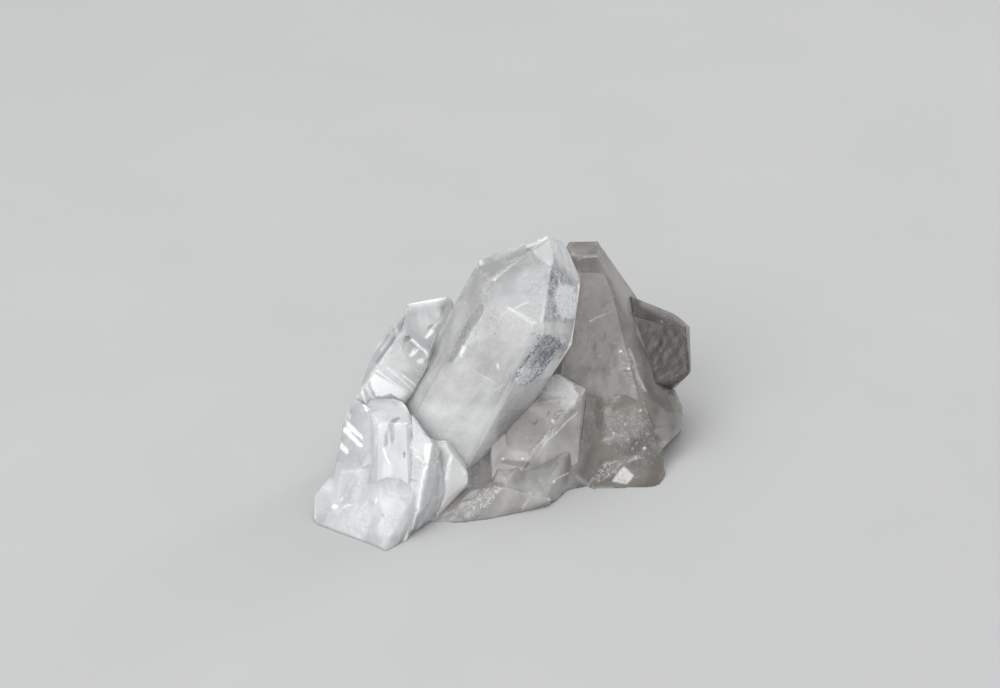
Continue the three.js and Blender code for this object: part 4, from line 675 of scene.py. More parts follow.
def tessellate(polys, normals, step_of):
    """Fine triangles on every polygon. Corners are welded first, and neighbouring
    polygons share the same points along their common edge."""
    verts, tris, face_of = [], [], []
    corners = []

    def corner(p):
        for k, c in enumerate(corners):
            if abs(c[0] - p[0]) + abs(c[1] - p[1]) + abs(c[2] - p[2]) < 0.05:
                return k
        corners.append(np.array(p, float))
        verts.append(np.array(p, float))
        return len(corners) - 1

    loops = []
    for poly in polys:
        loop = []
        for p in (poly if poly is not None else []):
            k = corner(p)
            if not loop or loop[-1] != k:
                loop.append(k)
        if len(loop) > 1 and loop[0] == loop[-1]:
            loop.pop()
        loops.append(loop if len(loop) >= 3 and len(set(loop)) == len(loop) else [])
    # one spacing per edge: the finer of its two faces
    edge_step = {}
    for i, loop in enumerate(loops):
        for a in range(len(loop)):
            key = tuple(sorted((loop[a], loop[(a + 1) % len(loop)])))
            edge_step[key] = min(edge_step.get(key, 9.0), step_of[i])
    along = {}
    for key, s in edge_step.items():
        p, q = corners[key[0]], corners[key[1]]
        k = max(1, int(math.ceil(np.linalg.norm(p - q) / s)))
        ids = [key[0]]
        for t in range(1, k):
            ids.append(len(verts))
            verts.append(p + (q - p) * t / k)
        along[key] = ids + [key[1]]
    for i, loop in enumerate(loops):
        if not loop:
            continue
        n = normals[i]
        u, v = basis(n)
        h = step_of[i]
        # in the flat, each run of edge points bows out a hair, so none of them is dead straight
        ids, flat = [], []
        core = np.mean([[corners[k] @ u, corners[k] @ v] for k in loop], axis=0)
        for a in range(len(loop)):
            p, q = loop[a], loop[(a + 1) % len(loop)]
            run = along[tuple(sorted((p, q)))]
            run = run if run[0] == p else run[::-1]
            k = len(run) - 1
            line = np.array([[verts[j] @ u, verts[j] @ v] for j in run])
            e = line[-1] - line[0]
            away = np.array([e[1], -e[0]]) / (np.linalg.norm(e) + 1e-12)
            if away @ (line.mean(0) - core) < 0:
                away = -away
            s = np.arange(k + 1) / k
            line = line + away * ((0.001 + 6e-6 * k * k) * 4 * s * (1 - s))[:, None]
            ids += run[:-1]
            flat.append(line[:-1])
        r2 = np.vstack(flat)
        c0 = r2.min(0)
        nx, ny = ((r2.max(0) - c0) / h).astype(int) + 2
        gx, gy = np.meshgrid(np.arange(nx), np.arange(ny))
        gx = gx.ravel().astype(float)
        gy = gy.ravel().astype(float)
        gx = gx + 0.5 * (gy % 2)
        jx = hash3(gx.astype(np.int64), gy.astype(np.int64), np.full(len(gx), i, np.int64), 5) - 0.5
        jy = hash3(gx.astype(np.int64), gy.astype(np.int64), np.full(len(gx), i, np.int64), 9) - 0.5
        g = np.stack([c0[0] + (gx + 0.3 * jx) * h, c0[1] + (gy + 0.3 * jy) * h * 0.87], 1)
        sd = poly_distance(g, [(float(corners[k] @ u), float(corners[k] @ v)) for k in loop])
        g = g[sd < -0.55 * h]
        base = n * float(corners[loop[0]] @ n)
        mid = r2.mean(0)
        coords = [Vector((float(a), float(b))) for a, b in
                  (np.vstack([r2, g]) if len(g) else r2) - mid]
        m = len(r2)
        edges = [(a, (a + 1) % m) for a in range(m)]
        vo, eo, fo, ov, oe, of_ = delaunay_2d_cdt(coords, edges, [], 1, 1e-6, True)
        local = []
        for w, src in zip(vo, ov):
            s = [x for x in src if x < m]
            if s:
                local.append(ids[s[0]])
            else:
                local.append(len(verts))
                verts.append(base + u * (w.x + mid[0]) + v * (w.y + mid[1]))
        for t in fo:
            t = [local[a] for a in t]
            if len(set(t)) == 3:
                pa, pb, pc = verts[t[0]], verts[t[1]], verts[t[2]]
                if np.cross(pb - pa, pc - pa) @ n < 0:
                    t = t[::-1]
                tris.append(t)
                face_of.append(i)
    # close anything the welding left open, and drop points no triangle uses
    count = {}
    for t in tris:
        for a in range(3):
            e = (t[a], t[(a + 1) % 3])
            count[tuple(sorted(e))] = count.get(tuple(sorted(e)), 0) + 1
    follow = {}
    for t in tris:
        for a in range(3):
            p, q = t[a], t[(a + 1) % 3]
            if count[tuple(sorted((p, q)))] == 1:
                follow[q] = p
    n_open = len(follow)
    while follow:
        start = next(iter(follow))
        loop, k = [start], follow.pop(start)
        while k != start and k in follow:
            loop.append(k)
            k = follow.pop(k)
        if k == start and len(loop) >= 3:
            for a in range(1, len(loop) - 1):
                tris.append([loop[0], loop[a], loop[a + 1]])
                face_of.append(len(polys) - 1)
    used = sorted({k for t in tris for k in t})
    new = {k: i for i, k in enumerate(used)}
    tris = [[new[k] for k in t] for t in tris]
    print('tessellated', len(tris), 'open', n_open)
    return np.array([verts[k] for k in used]), tris, face_of


# ---------------------------------------------------------------- crystals
def c_axis(faces):
    """The direction that every prism face stands parallel to."""
    ns = np.array([f[1:4] for f in faces if f[0].startswith('P')])
    if len(ns) < 2:
        return np.array((0.0, 0.0, 1.0))
    w, v = np.linalg.eigh(ns.T @ ns)
    c = v[:, 0]
    return c if c[2] > 0 else -c


def relief(P, n, kind, c, seed, strength):
    """Growth relief of one face, in mm along its normal."""
    rng = np.random.default_rng(seed)
    u, v = basis(n)
    if kind == 'prism':
        s = P @ c
        side = P @ np.cross(n, c)
        lo, hi = s.min(), s.max()
        f = np.zeros(len(P))
        warp = 0.35 * vnoise(np.stack([side * 0.25, s * 0.02, s * 0], 1), seed)
        k = int((hi - lo) / 1.3) + 3
        for _ in range(k):
            at = rng.uniform(lo, hi)
            amp = rng.normal() * 0.035
            reach = rng.uniform(2.0, 14.0)
            mid = rng.uniform(side.min(), side.max())
            gate = 1 - smooth(reach * 0.6, reach, np.abs(side - mid))
            f += amp * gate * (smooth(-0.16, 0.16, s + warp * 0.3 - at) - 0.5)
        # fine striation lines
        f += 0.008 * np.sin(s * 7.3 + 2.0 * vnoise(np.stack([s * 0.7, side * 0.05, s * 0], 1), seed + 3))
        f += 0.03 * fbm(P * 0.16, seed + 5, 3)
    elif kind == 'tip':
        a, b = P @ u, P @ v
        best = np.full(len(P), -9.0)
        for _ in range(9):
            ca, cb = rng.uniform(a.min(), a.max()), rng.uniform(b.min(), b.max())
            h = rng.uniform(0.0, 0.10)
            rot = rng.uniform(0, 2.09)
            cone = np.full(len(P), -9.0)
            for j in range(3):
                t = rot + j * 2.094
                cone = np.maximum(cone, (a - ca) * math.cos(t) + (b - cb) * math.sin(t))
            best = np.maximum(best, h - 0.022 * cone)
        f = np.clip(best, -0.25, 0.14)
        f += 0.02 * fbm(P * 0.3, seed + 5, 3)
    else:
        f = 0.05 * fbm(P * 0.4, seed + 5, 3)
    return f * strength


# how much further out, in mm, a few hidden faces stand in the visual than in the CAD
GROW = {'main': {'P240': 0.7, 'T120': 0.45, 'T240': 0.5}, 'left': {'T180': 0.35}}


def build_crystal(name, chamfer=0.24, fine=0.30, coarse=0.55, relief_strength=1.0, chips=10):
    centre, faces = HABITS[name]
    seed = 100 + 13 * list(HABITS).index(name)
    rng = np.random.default_rng(seed)
    centre = np.array(centre)
    planes = []
    for f in faces:
        n = np.array(f[1:4], float)
        n /= np.linalg.norm(n)
        planes.append((n, f[4] + float(n @ centre) + GROW.get(name, {}).get(f[0], 0.0)))
    for n, d in BREAKS.get(name, []):
        planes.append((np.array(n), d))
    planes.append((np.array((0.0, 0.0, -1.0)), 0.0))
    labels = [f[0] for f in faces] + ['break'] * len(BREAKS.get(name, [])) + ['floor']
    c = c_axis(faces)
    full, edges, n_main = chamfered(planes, rng, chamfer)
    polys = faces_of(full)
    normals = [p[0] for p in full]
    labels += ['edge'] * (len(full) - n_main)
    step = []
    for i, n in enumerate(normals):
        facing = n @ FRONT_IN
        if labels[i] == 'edge':
            step.append(fine)
        elif labels[i] == 'floor':
            step.append(1.2)
        else:
            step.append(fine if facing < 0.05 else coarse)
    V, T, F = tessellate(polys, normals, step)
    nv = len(V)
    # which faces each point belongs to
    on_edge = np.zeros(nv, bool)
    owner = np.full(nv, -1)
    multi = np.zeros(nv, int)
    Farr = np.array(F)
    Tarr = np.array(T)
    for i in range(len(polys)):
        pts = np.unique(Tarr[Farr == i]) if (Farr == i).any() else []
        if len(pts):
            multi[pts] += 1
            owner[pts] = i
    on_edge = multi > 1
    # distance to the nearest edge of the unbevelled crystal
    rim = np.full(nv, 99.0)
    for p, q, n, phi in edges:
        rim = np.minimum(rim, seg_distance(V, p, q)[0])
    out = V.copy()
    N = np.array([normals[o] for o in owner])
    for i in range(n_main):
        if labels[i] == 'floor' or polys[i] is None:
            continue
        sel = np.where((owner == i) & ~on_edge)[0]
        if len(sel) < 4:
            continue
        kind = 'prism' if labels[i].startswith('P') else 'tip' if labels[i].startswith('T') else 'other'
        f = relief(V[sel], normals[i], kind, c, seed * 7 + i, relief_strength)
        u, v = basis(normals[i])
        sd = -poly_distance(np.stack([V[sel] @ u, V[sel] @ v], 1),
                            [(float(p @ u), float(p @ v)) for p in polys[i]])
        f = f * smooth(0.0, 0.7, sd)
        out[sel] += normals[i] * f[:, None]
    # chips knocked out of the edges
    long_edges = [e for e in edges if np.linalg.norm(e[0] - e[1]) > 2.0 and e[3] > 0.25]
    if long_edges:
        lens = np.array([np.linalg.norm(e[0] - e[1]) for e in long_edges])
        for _ in range(chips):
            p, q, n, phi = long_edges[rng.choice(len(long_edges), p=lens / lens.sum())]
            at = p + (q - p) * rng.uniform(0.05, 0.95)
            r = rng.uniform(0.3, 0.95)
            t = n + rng.normal(size=3) * 0.14
            t /= np.linalg.norm(t)
            depth = r * rng.uniform(0.12, 0.26)
            d = np.sqrt(((out - at) ** 2).sum(1))
            over = out @ t - (at @ t - depth)
            m = (d < r * 1.6) & (over > 0)
            w = 1 - smooth(r, r * 1.6, d[m])
            out[m] -= t * (np.minimum(over[m], depth * 1.15) * w)[:, None]
    out[:, 2] = np.maximum(out[:, 2], 0.0)
    return dict(name=name, V=out, T=T, base=V, N=N, owner=owner, labels=labels, normals=normals,
                rim=rim, edges=edges, axis=c, face_of=F)


def front_uv(P):
    return np.stack([P @ FRONT_RIGHT, P @ FRONT_UP], 1)


CHANNELS = ('light', 'white', 'painted_dark_window', 'spark', 'pale')


def paint(name, P, N):
    """Per-point weights of the inclusions and veils in a crystal, and of its painted light: highlights, glints, light
    and shade, and clear windows painted dark.
    """
    uv = front_uv(P)
    uv = uv + 0.10 * np.stack([vnoise(P * 0.9, 301), vnoise(P * 0.9, 302)], 1)
    facing = smooth(-0.02, -0.30, N @ FRONT_IN) if name == 'root' else smooth(0.18, 0.02, N @ FRONT_IN)
    out = {k: np.zeros(len(P)) for k in CHANNELS}
    for who, channel, shape, pts, width, soft, value in FEATURES:
        if who != name:
            continue
        if shape == 'poly':
            d = poly_distance(uv, pts)
            if channel == 'pale':
                soft = soft + 5.0 * smooth(-12.0, 4.0, P[:, 1])
            w = 1 - smooth(-soft, soft, d)
        else:
            d = poly_distance(uv, pts, closed=False)
            w = 1 - smooth(width - soft, width + soft, d)
        if channel != 'pale':
            w = w * facing
        if channel == 'light':
            out['light'] = out['light'] + w * value
        else:
            out[channel] = np.maximum(out[channel] * 1.0, w * value) if value >= 0 else \
                out[channel] * (1 + value * w)
    return out


def hidden_side(info, seed):
    """Veils, lighter and darker patches, painted glints and clear spots painted dark on the faces turned away from the
    front.
    """
    P, owner, labels, normals = info['base'], info['owner'], info['labels'], info['normals']
    rng = np.random.default_rng(seed)
    out = {k: np.zeros(len(P)) for k in CHANNELS}
    warp = 0.9 * np.stack([vnoise(P * 0.35, seed + 1), vnoise(P * 0.35, seed + 2), vnoise(P * 0.35, seed + 3)], 1)
    Q = P + warp
    for i, n in enumerate(normals):
        if labels[i] in ('edge', 'floor') or n @ FRONT_IN < 0.12:
            continue
        sel = np.where(owner == i)[0]
        if len(sel) < 120:
            continue
        u = info['axis'] - n * (n @ info['axis'])
        if np.linalg.norm(u) < 0.2:
            u = basis(n)[0]
        u /= np.linalg.norm(u)
        v = np.cross(n, u)
        a, b = Q[sel] @ u, Q[sel] @ v
        sa, sb = P[sel] @ u, P[sel] @ v
        for _ in range(int(rng.integers(2, 5))):
            ca, cb = rng.uniform(a.min(), a.max()), rng.uniform(b.min(), b.max())
            ra, rb = rng.uniform(2.0, 6.0), rng.uniform(0.8, 2.6)
            d = np.sqrt(((a - ca) / ra) ** 2 + ((b - cb) / rb) ** 2)
            out['spark'][sel] = np.maximum(out['spark'][sel], (1 - smooth(0.5, 1.1, d)) * rng.uniform(0.5, 1.0))
        for _ in range(int(rng.integers(2, 6))):
            ca, cb = rng.uniform(sa.min(), sa.max()), rng.uniform(sb.min(), sb.max())
            half, slope = rng.uniform(0.8, 3.5), rng.normal() * 0.15
            w = 1 - smooth(0.10, 0.24, np.abs(sa - ca - slope * (sb - cb)))
            w = w * (1 - smooth(half * 0.8, half, np.abs(sb - cb)))
            out['white'][sel] = np.maximum(out['white'][sel], w * rng.uniform(0.4, 0.85))
        for _ in range(int(rng.integers(1, 3))):
            ca, cb = rng.uniform(a.min(), a.max()), rng.uniform(b.min(), b.max())
            ra, rb = rng.uniform(3.0, 8.0), rng.uniform(1.2, 3.0)
            d = np.sqrt(((a - ca) / ra) ** 2 + ((b - cb) / rb) ** 2)
            out['light'][sel] += (1 - smooth(0.6, 1.1, d)) * rng.uniform(-0.35, 0.25)
        if rng.random() < 0.45:
            ca, cb = rng.uniform(a.min(), a.max()), rng.uniform(b.min(), b.max())
            ra, rb = rng.uniform(3.0, 7.0), rng.uniform(1.5, 3.5)
            d = np.maximum(np.abs(a - ca) / ra, np.abs(b - cb) / rb)
            out['painted_dark_window'][sel] = np.maximum(out['painted_dark_window'][sel], (1 - smooth(0.85, 1.0, d)) * rng.uniform(0.4, 0.8))
    return out


def make_object(name, V, T, attrs, material, sharp=14):
    me = bpy.data.meshes.new(name)
    me.from_pydata([tuple(p) for p in (V * MM)], [], T)
    me.update()
    for k, a in attrs.items():
        at = me.attributes.new(k, 'FLOAT', 'POINT')
        at.data.foreach_set('value', np.asarray(a, np.float32))
    bm = bmesh.new()
    bm.from_mesh(me)
    print(name, 'edges not shared by two faces', sum(1 for e in bm.edges if len(e.link_faces) != 2))
    bm.free()
    me.shade_smooth()
    me.set_sharp_from_angle(angle=math.radians(sharp))
    me.materials.append(material)
    ob = bpy.data.objects.new(name, me)
    scene.collection.objects.link(ob)
    return ob


# ---------------------------------------------------------------- materials
class Tree:
    """Short hand for building node trees."""

    def __init__(self, name):
        self.mat = bpy.data.materials.new(name)
        self.mat.use_nodes = True
        self.nt = self.mat.node_tree
        self.nt.nodes.clear()
        self.out = self.nt.nodes.new('ShaderNodeOutputMaterial')
        self.bsdf = self.nt.nodes.new('ShaderNodeBsdfPrincipled')
        self.nt.links.new(self.bsdf.outputs[0], self.out.inputs['Surface'])

    def put(self, sock, val):
        if isinstance(val, bpy.types.NodeSocket):
            self.nt.links.new(val, sock)
        else:
            sock.default_value = val

    def math(self, op, a, b=0.0, c=0.0, clamp=False):
        n = self.nt.nodes.new('ShaderNodeMath')
        n.operation = op
        n.use_clamp = clamp
        self.put(n.inputs[0], a)
        self.put(n.inputs[1], b)
        self.put(n.inputs[2], c)
        return n.outputs[0]

    def vmul(self, v, s):
        n = self.nt.nodes.new('ShaderNodeVectorMath')
        n.operation = 'MULTIPLY'
        self.put(n.inputs[0], v)
        self.put(n.inputs[1], s if hasattr(s, '__len__') else (s, s, s))
        return n.outputs[0]

    def vadd(self, v, s):
        n = self.nt.nodes.new('ShaderNodeVectorMath')
        n.operation = 'ADD'
        self.put(n.inputs[0], v)
        self.put(n.inputs[1], s)
        return n.outputs[0]

    def attr(self, name):
        n = self.nt.nodes.new('ShaderNodeAttribute')
        n.attribute_name = name
        return n.outputs['Fac']

    def coords(self):
        n = self.nt.nodes.new('ShaderNodeTexCoord')
        return self.vmul(n.outputs['Object'], 1000.0)

    def turned(self, v, x_axis, z_axis):
        """Coordinates along a crystal's own axes."""
        z = Vector(z_axis).normalized()
        x = Vector(x_axis)
        x = (x - z * x.dot(z)).normalized()
        y = z.cross(x)
        outs = []
        for a in (x, y, z):
            n = self.nt.nodes.new('ShaderNodeVectorMath')
            n.operation = 'DOT_PRODUCT'
            self.put(n.inputs[0], v)
            n.inputs[1].default_value = a
            outs.append(n.outputs['Value'])
        c = self.nt.nodes.new('ShaderNodeCombineXYZ')
        for i in range(3):
            self.put(c.inputs[i], outs[i])
        return c.outputs[0]

    def noise(self, v, scale, detail=3.0, rough=0.5, distortion=0.0):
        n = self.nt.nodes.new('ShaderNodeTexNoise')
        n.inputs['Scale'].default_value = scale
        n.inputs['Detail'].default_value = detail
        n.inputs['Roughness'].default_value = rough
        n.inputs['Distortion'].default_value = distortion
        self.put(n.inputs['Vector'], v)
        return n.outputs['Fac']

    def voronoi(self, v, scale, feature='F1', out='Distance', randomness=1.0):
        n = self.nt.nodes.new('ShaderNodeTexVoronoi')
        n.feature = feature
        n.inputs['Scale'].default_value = scale
        n.inputs['Randomness'].default_value = randomness
        self.put(n.inputs['Vector'], v)
        return n.outputs[out]

    def ramp(self, fac, stops, mode='LINEAR'):
        n = self.nt.nodes.new('ShaderNodeValToRGB')
        n.color_ramp.interpolation = mode
        el = n.color_ramp.elements
        while len(el) > 1:
            el.remove(el[-1])
        el[0].position = stops[0][0]
        el[0].color = self._rgba(stops[0][1])
        for p, c in stops[1:]:
            e = el.new(p)
            e.color = self._rgba(c)
        self.put(n.inputs[0], fac)
        return n.outputs['Color']

    @staticmethod
    def _rgba(c):
        if hasattr(c, '__len__'):
            return (c[0], c[1], c[2], 1.0)
        return (c, c, c, 1.0)

    def mix(self, fac, a, b, mode='MIX'):
        n = self.nt.nodes.new('ShaderNodeMix')
        n.data_type = 'RGBA'
        n.blend_type = mode
        n.clamp_factor = True
        self.put(n.inputs[0], fac)
        for sock, v in ((n.inputs[6], a), (n.inputs[7], b)):
            if isinstance(v, bpy.types.NodeSocket):
                self.nt.links.new(v, sock)
            else:
                sock.default_value = self._rgba(v)
        return n.outputs[2]

    def fit(self, v, a, b, c=0.0, d=1.0):
        n = self.nt.nodes.new('ShaderNodeMapRange')
        n.clamp = True
        self.put(n.inputs['Value'], v)
        n.inputs['From Min'].default_value = a
        n.inputs['From Max'].default_value = b
        n.inputs['To Min'].default_value = c
        n.inputs['To Max'].default_value = d
        return n.outputs[0]

    def bump(self, height, strength, distance, normal=None):
        n = self.nt.nodes.new('ShaderNodeBump')
        n.inputs['Strength'].default_value = strength
        n.inputs['Distance'].default_value = distance
        self.put(n.inputs['Height'], height)
        if normal is not None:
            self.put(n.inputs['Normal'], normal)
        return n.outputs[0]


def quartz(name, axis, clear, milky, painted_dark, veil=0.5, speckle=0.35, rough=0.16,
           transmission=0.30, subsurface=0.65, seed=0.0, places=None):
    """One crystal's material. clear/milky are the colours between which its haze wanders;
    the dark colour is painted: the dark surroundings seen through the clear windows, which painted shade also sinks
    towards."""
    t = Tree(name)
    v = t.vadd(t.coords(), (seed * 3.1, seed * 1.7, seed * 2.3))
    w = t.turned(v, (1, 0.2, 0), axis)
    light, white = t.attr('light'), t.attr('white')
    painted_dark_window, spark = t.attr('painted_dark_window'), t.attr('spark')
    rim = t.attr('rim')
    # slow haze, stretched along the crystal
    haze = t.noise(t.vmul(w, (0.10, 0.10, 0.05)), 1.0, 3, 0.5, 0.5)
    haze2 = t.noise(t.vmul(w, (0.45, 0.45, 0.30)), 1.0, 4, 0.55, 0.6)
    fac = t.math('ADD', t.math('MULTIPLY', haze, 0.78), t.math('MULTIPLY', haze2, 0.22))
    if places:
        sep = t.nt.nodes.new('ShaderNodeSeparateXYZ')
        t.put(sep.inputs[0], t.coords())
        across = t.math('ADD', sep.outputs[0], t.math('MULTIPLY', t.math('SUBTRACT', t.noise(v, 0.15, 3), 0.5), 6.0))
        across = t.fit(across, -50.0, 50.0)
        pale = t.attr('pale')
        clear = t.mix(pale, t.ramp(across, [((x + 50.0) / 100.0, a) for x, a, b in places[1:]]), places[0][1])
        milky = t.mix(pale, t.ramp(across, [((x + 50.0) / 100.0, b) for x, a, b in places[1:]]), places[0][2])
    col = t.mix(t.fit(fac, 0.5 - veil * 0.3, 0.5 + veil * 0.3), clear, milky)
    # wispy healed fractures
    wisp = t.noise(t.vmul(w, (0.34, 0.34, 0.16)), 1.0, 6, 0.62, 2.2)
    line = t.math('ABSOLUTE', t.math('SUBTRACT', wisp, 0.5))
    line = t.fit(line, 0.0, 0.022, 1.0, 0.0)
    gate = t.fit(t.noise(v, 0.11, 2), 0.56, 0.70)
    col = t.mix(t.math('MULTIPLY', t.math('MULTIPLY', line, gate), 0.28), col, (0.86, 0.87, 0.87))
    # fine specks all over
    sp = t.voronoi(v, 1.15, 'F1', 'Distance')
    dots = t.fit(sp, 0.09, 0.19, 1.0, 0.0)
    dots = t.math('MULTIPLY', dots, t.fit(t.noise(v, 0.22, 3), 0.50, 0.66))
    col = t.mix(t.math('MULTIPLY', dots, speckle), col, (0.88, 0.89, 0.9))
    # painted light and shade over the crystal's own milky tone: above 0 lifts towards white, below 0 sinks towards the
    # painted dark of the clear windows
    up = t.math('MULTIPLY', light, 1.0, clamp=True)
    painted_darkening = t.math('MULTIPLY', light, -1.0, clamp=True)
    col = t.mix(up, col, (0.90, 0.91, 0.91))
    col = t.mix(painted_darkening, col, painted_dark)
    # clear windows painted dark: the dark surroundings seen through the crystal, full of fine specks
    p1 = t.noise(t.vmul(w, (2.3, 2.3, 1.9)), 1.0, 5, 0.82, 0.0)
    p2 = t.noise(t.vmul(w, (0.40, 0.40, 0.30)), 1.0, 3, 0.5, 0.3)
    pf = t.math('ADD', t.math('MULTIPLY', p1, 0.72), t.math('MULTIPLY', p2, 0.28))
    pf = t.math('ADD', pf, t.math('MULTIPLY', light, 0.22))
    inside = t.ramp(pf, [(0.38, [c * 0.4 for c in painted_dark]), (0.45, [c * 1.3 for c in painted_dark]),
                         (0.52, (0.38, 0.405, 0.43)), (0.60, (0.78, 0.81, 0.82))])
    grains = t.fit(t.voronoi(v, 1.35, 'F1', 'Distance'), 0.22, 0.36, 1.0, 0.0)
    grains = t.math('MULTIPLY', grains, t.fit(t.noise(v, 0.5, 3), 0.26, 0.44))
    inside = t.mix(t.math('MULTIPLY', grains, 0.62), inside, [c * 0.9 for c in painted_dark])
    col = t.mix(painted_dark_window, col, inside)
    # rough zones with painted glints: white flecks from noise mixed into the colour
    s1 = t.noise(v, 1.5, 3, 0.7, 0.6)
    s2 = t.noise(v, 2.7, 2, 0.6, 0.0)
    sf = t.math('ADD', t.math('MULTIPLY', s1, 0.55), t.math('MULTIPLY', s2, 0.45))
    glint = t.fit(sf, 0.515, 0.575)
    col = t.mix(t.math('MULTIPLY', t.math('MULTIPLY', spark, glint), 0.85), col, (0.93, 0.94, 0.94))
    # milky bands, and painted highlights of cleavage flashes and bright edges
    wn = t.fit(t.noise(v, 1.4, 3, 0.6), 0.34, 0.56, 0.55, 1.0)
    col = t.mix(t.math('MULTIPLY', white, wn), col, (0.94, 0.955, 0.96))
    # worn, bruised edges, lightened as well into a painted edge highlight
    bruise = t.fit(t.noise(v, 0.9, 4, 0.6), 0.40, 0.62)
    col = t.mix(t.math('MULTIPLY', t.math('MULTIPLY', rim, bruise), 0.62), col, (0.90, 0.905, 0.90))
    t.put(t.bsdf.inputs['Base Color'], col)
    # roughness
    r = t.fit(t.noise(v, 0.6, 4, 0.6), 0.3, 0.7, rough * 0.6, rough * 1.7)
    r = t.math('ADD', r, t.math('MULTIPLY', spark, 0.14))
    r = t.math('ADD', r, t.math('MULTIPLY', rim, 0.12), clamp=True)
    t.put(t.bsdf.inputs['Roughness'], r)
    # transmission leaves where the crystal is milky
    tr = t.fit(fac, 0.42, 0.6, transmission * 1.25, transmission * 0.7)
    tr = t.math('MULTIPLY', tr, t.math('SUBTRACT', 1.0, t.math('MAXIMUM', white, t.math('MULTIPLY', up, 0.8)), clamp=True))
    tr = t.math('MULTIPLY', tr, t.math('SUBTRACT', 1.0, t.math('MULTIPLY', painted_dark_window, 0.9), clamp=True))
    t.put(t.bsdf.inputs['Transmission Weight'], tr)
    # fine relief: striations across the axis and small pits
    lines = t.noise(t.vmul(w, (0.10, 0.10, 2.6)), 1.0, 3, 0.6)
    pits = t.noise(v, 2.2, 4, 0.6)
    nrm = t.bump(lines, 0.18, 0.00006)
    nrm = t.bump(pits, 0.14, 0.00008, nrm)
    nrm = t.bump(t.math('MULTIPLY', spark, sf), 0.9, 0.00035, nrm)
    t.put(t.bsdf.inputs['Normal'], nrm)
    b = t.bsdf.inputs
    b['IOR'].default_value = 1.544
    b['Subsurface Weight'].default_value = subsurface
    b['Subsurface Radius'].default_value = (1.0, 0.98, 0.96)
    b['Subsurface Scale'].default_value = 0.004
    b['Coat Weight'].default_value = 0.15
    b['Coat Roughness'].default_value = 0.05
    b['Coat IOR'].default_value = 1.5
    return t.mat


# ---------------------------------------------------------------- build the crystals
# Tones per crystal. The right-hand crystals are darker partly by their own warm grey and partly by painted shade: the
# side turned from the light, and the dark surroundings seen through them.
LOOK = {
    'main': dict(clear=(0.68, 0.68, 0.68), milky=(0.775, 0.775, 0.775), painted_dark=(0.10, 0.115, 0.135), seed=1.0,
                 transmission=0.5),
    'left': dict(clear=(0.78, 0.785, 0.79), milky=(0.88, 0.885, 0.89), painted_dark=(0.16, 0.165, 0.175), seed=2.0,
                 transmission=0.45),
    'front_left': dict(clear=(0.62, 0.625, 0.63), milky=(0.70, 0.705, 0.72), painted_dark=(0.20, 0.20, 0.20), seed=3.0,
                       transmission=0.2),
    'front_small': dict(clear=(0.74, 0.74, 0.74), milky=(0.82, 0.82, 0.815), painted_dark=(0.20, 0.20, 0.20), seed=4.0,
                        transmission=0.2),
    'front_right': dict(clear=(0.48, 0.458, 0.435), milky=(0.57, 0.548, 0.526), painted_dark=(0.13, 0.12, 0.11), seed=5.0,
                        transmission=0.45),
    'back_right': dict(clear=(0.27, 0.25, 0.228), milky=(0.33, 0.31, 0.287), painted_dark=(0.07, 0.065, 0.058), seed=6.0,
                       transmission=0.45),
    'far_right': dict(clear=(0.069, 0.060, 0.052), milky=(0.092, 0.081, 0.071), painted_dark=(0.05, 0.045, 0.04), seed=7.0,
                      transmission=0.45),
}

made = {}
for key, (node, slot) in PIECES.items():
    worn = key in ('back_right', 'far_right')
    info = build_crystal(key, chamfer=0.55 if worn else 0.24, chips=22 if worn else 10)
    mat = quartz('quartz_' + key, tuple(info['axis']), **LOOK[key])
    attrs = paint(key, info['base'], info['N'])
    for k, extra in hidden_side(info, 500 + len(made)).items():
        attrs[k] = attrs[k] + extra
    attrs['rim'] = (1 - smooth(0.12, 0.42, info['rim'])) * (0.3 if worn else 1.0)
    ob = make_object(key + '_look', info['V'], info['T'], attrs, mat)
    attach(ob, 'root')
    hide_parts(node)
    made[key] = ob
    print(key, 'triangles', len(info['T']))


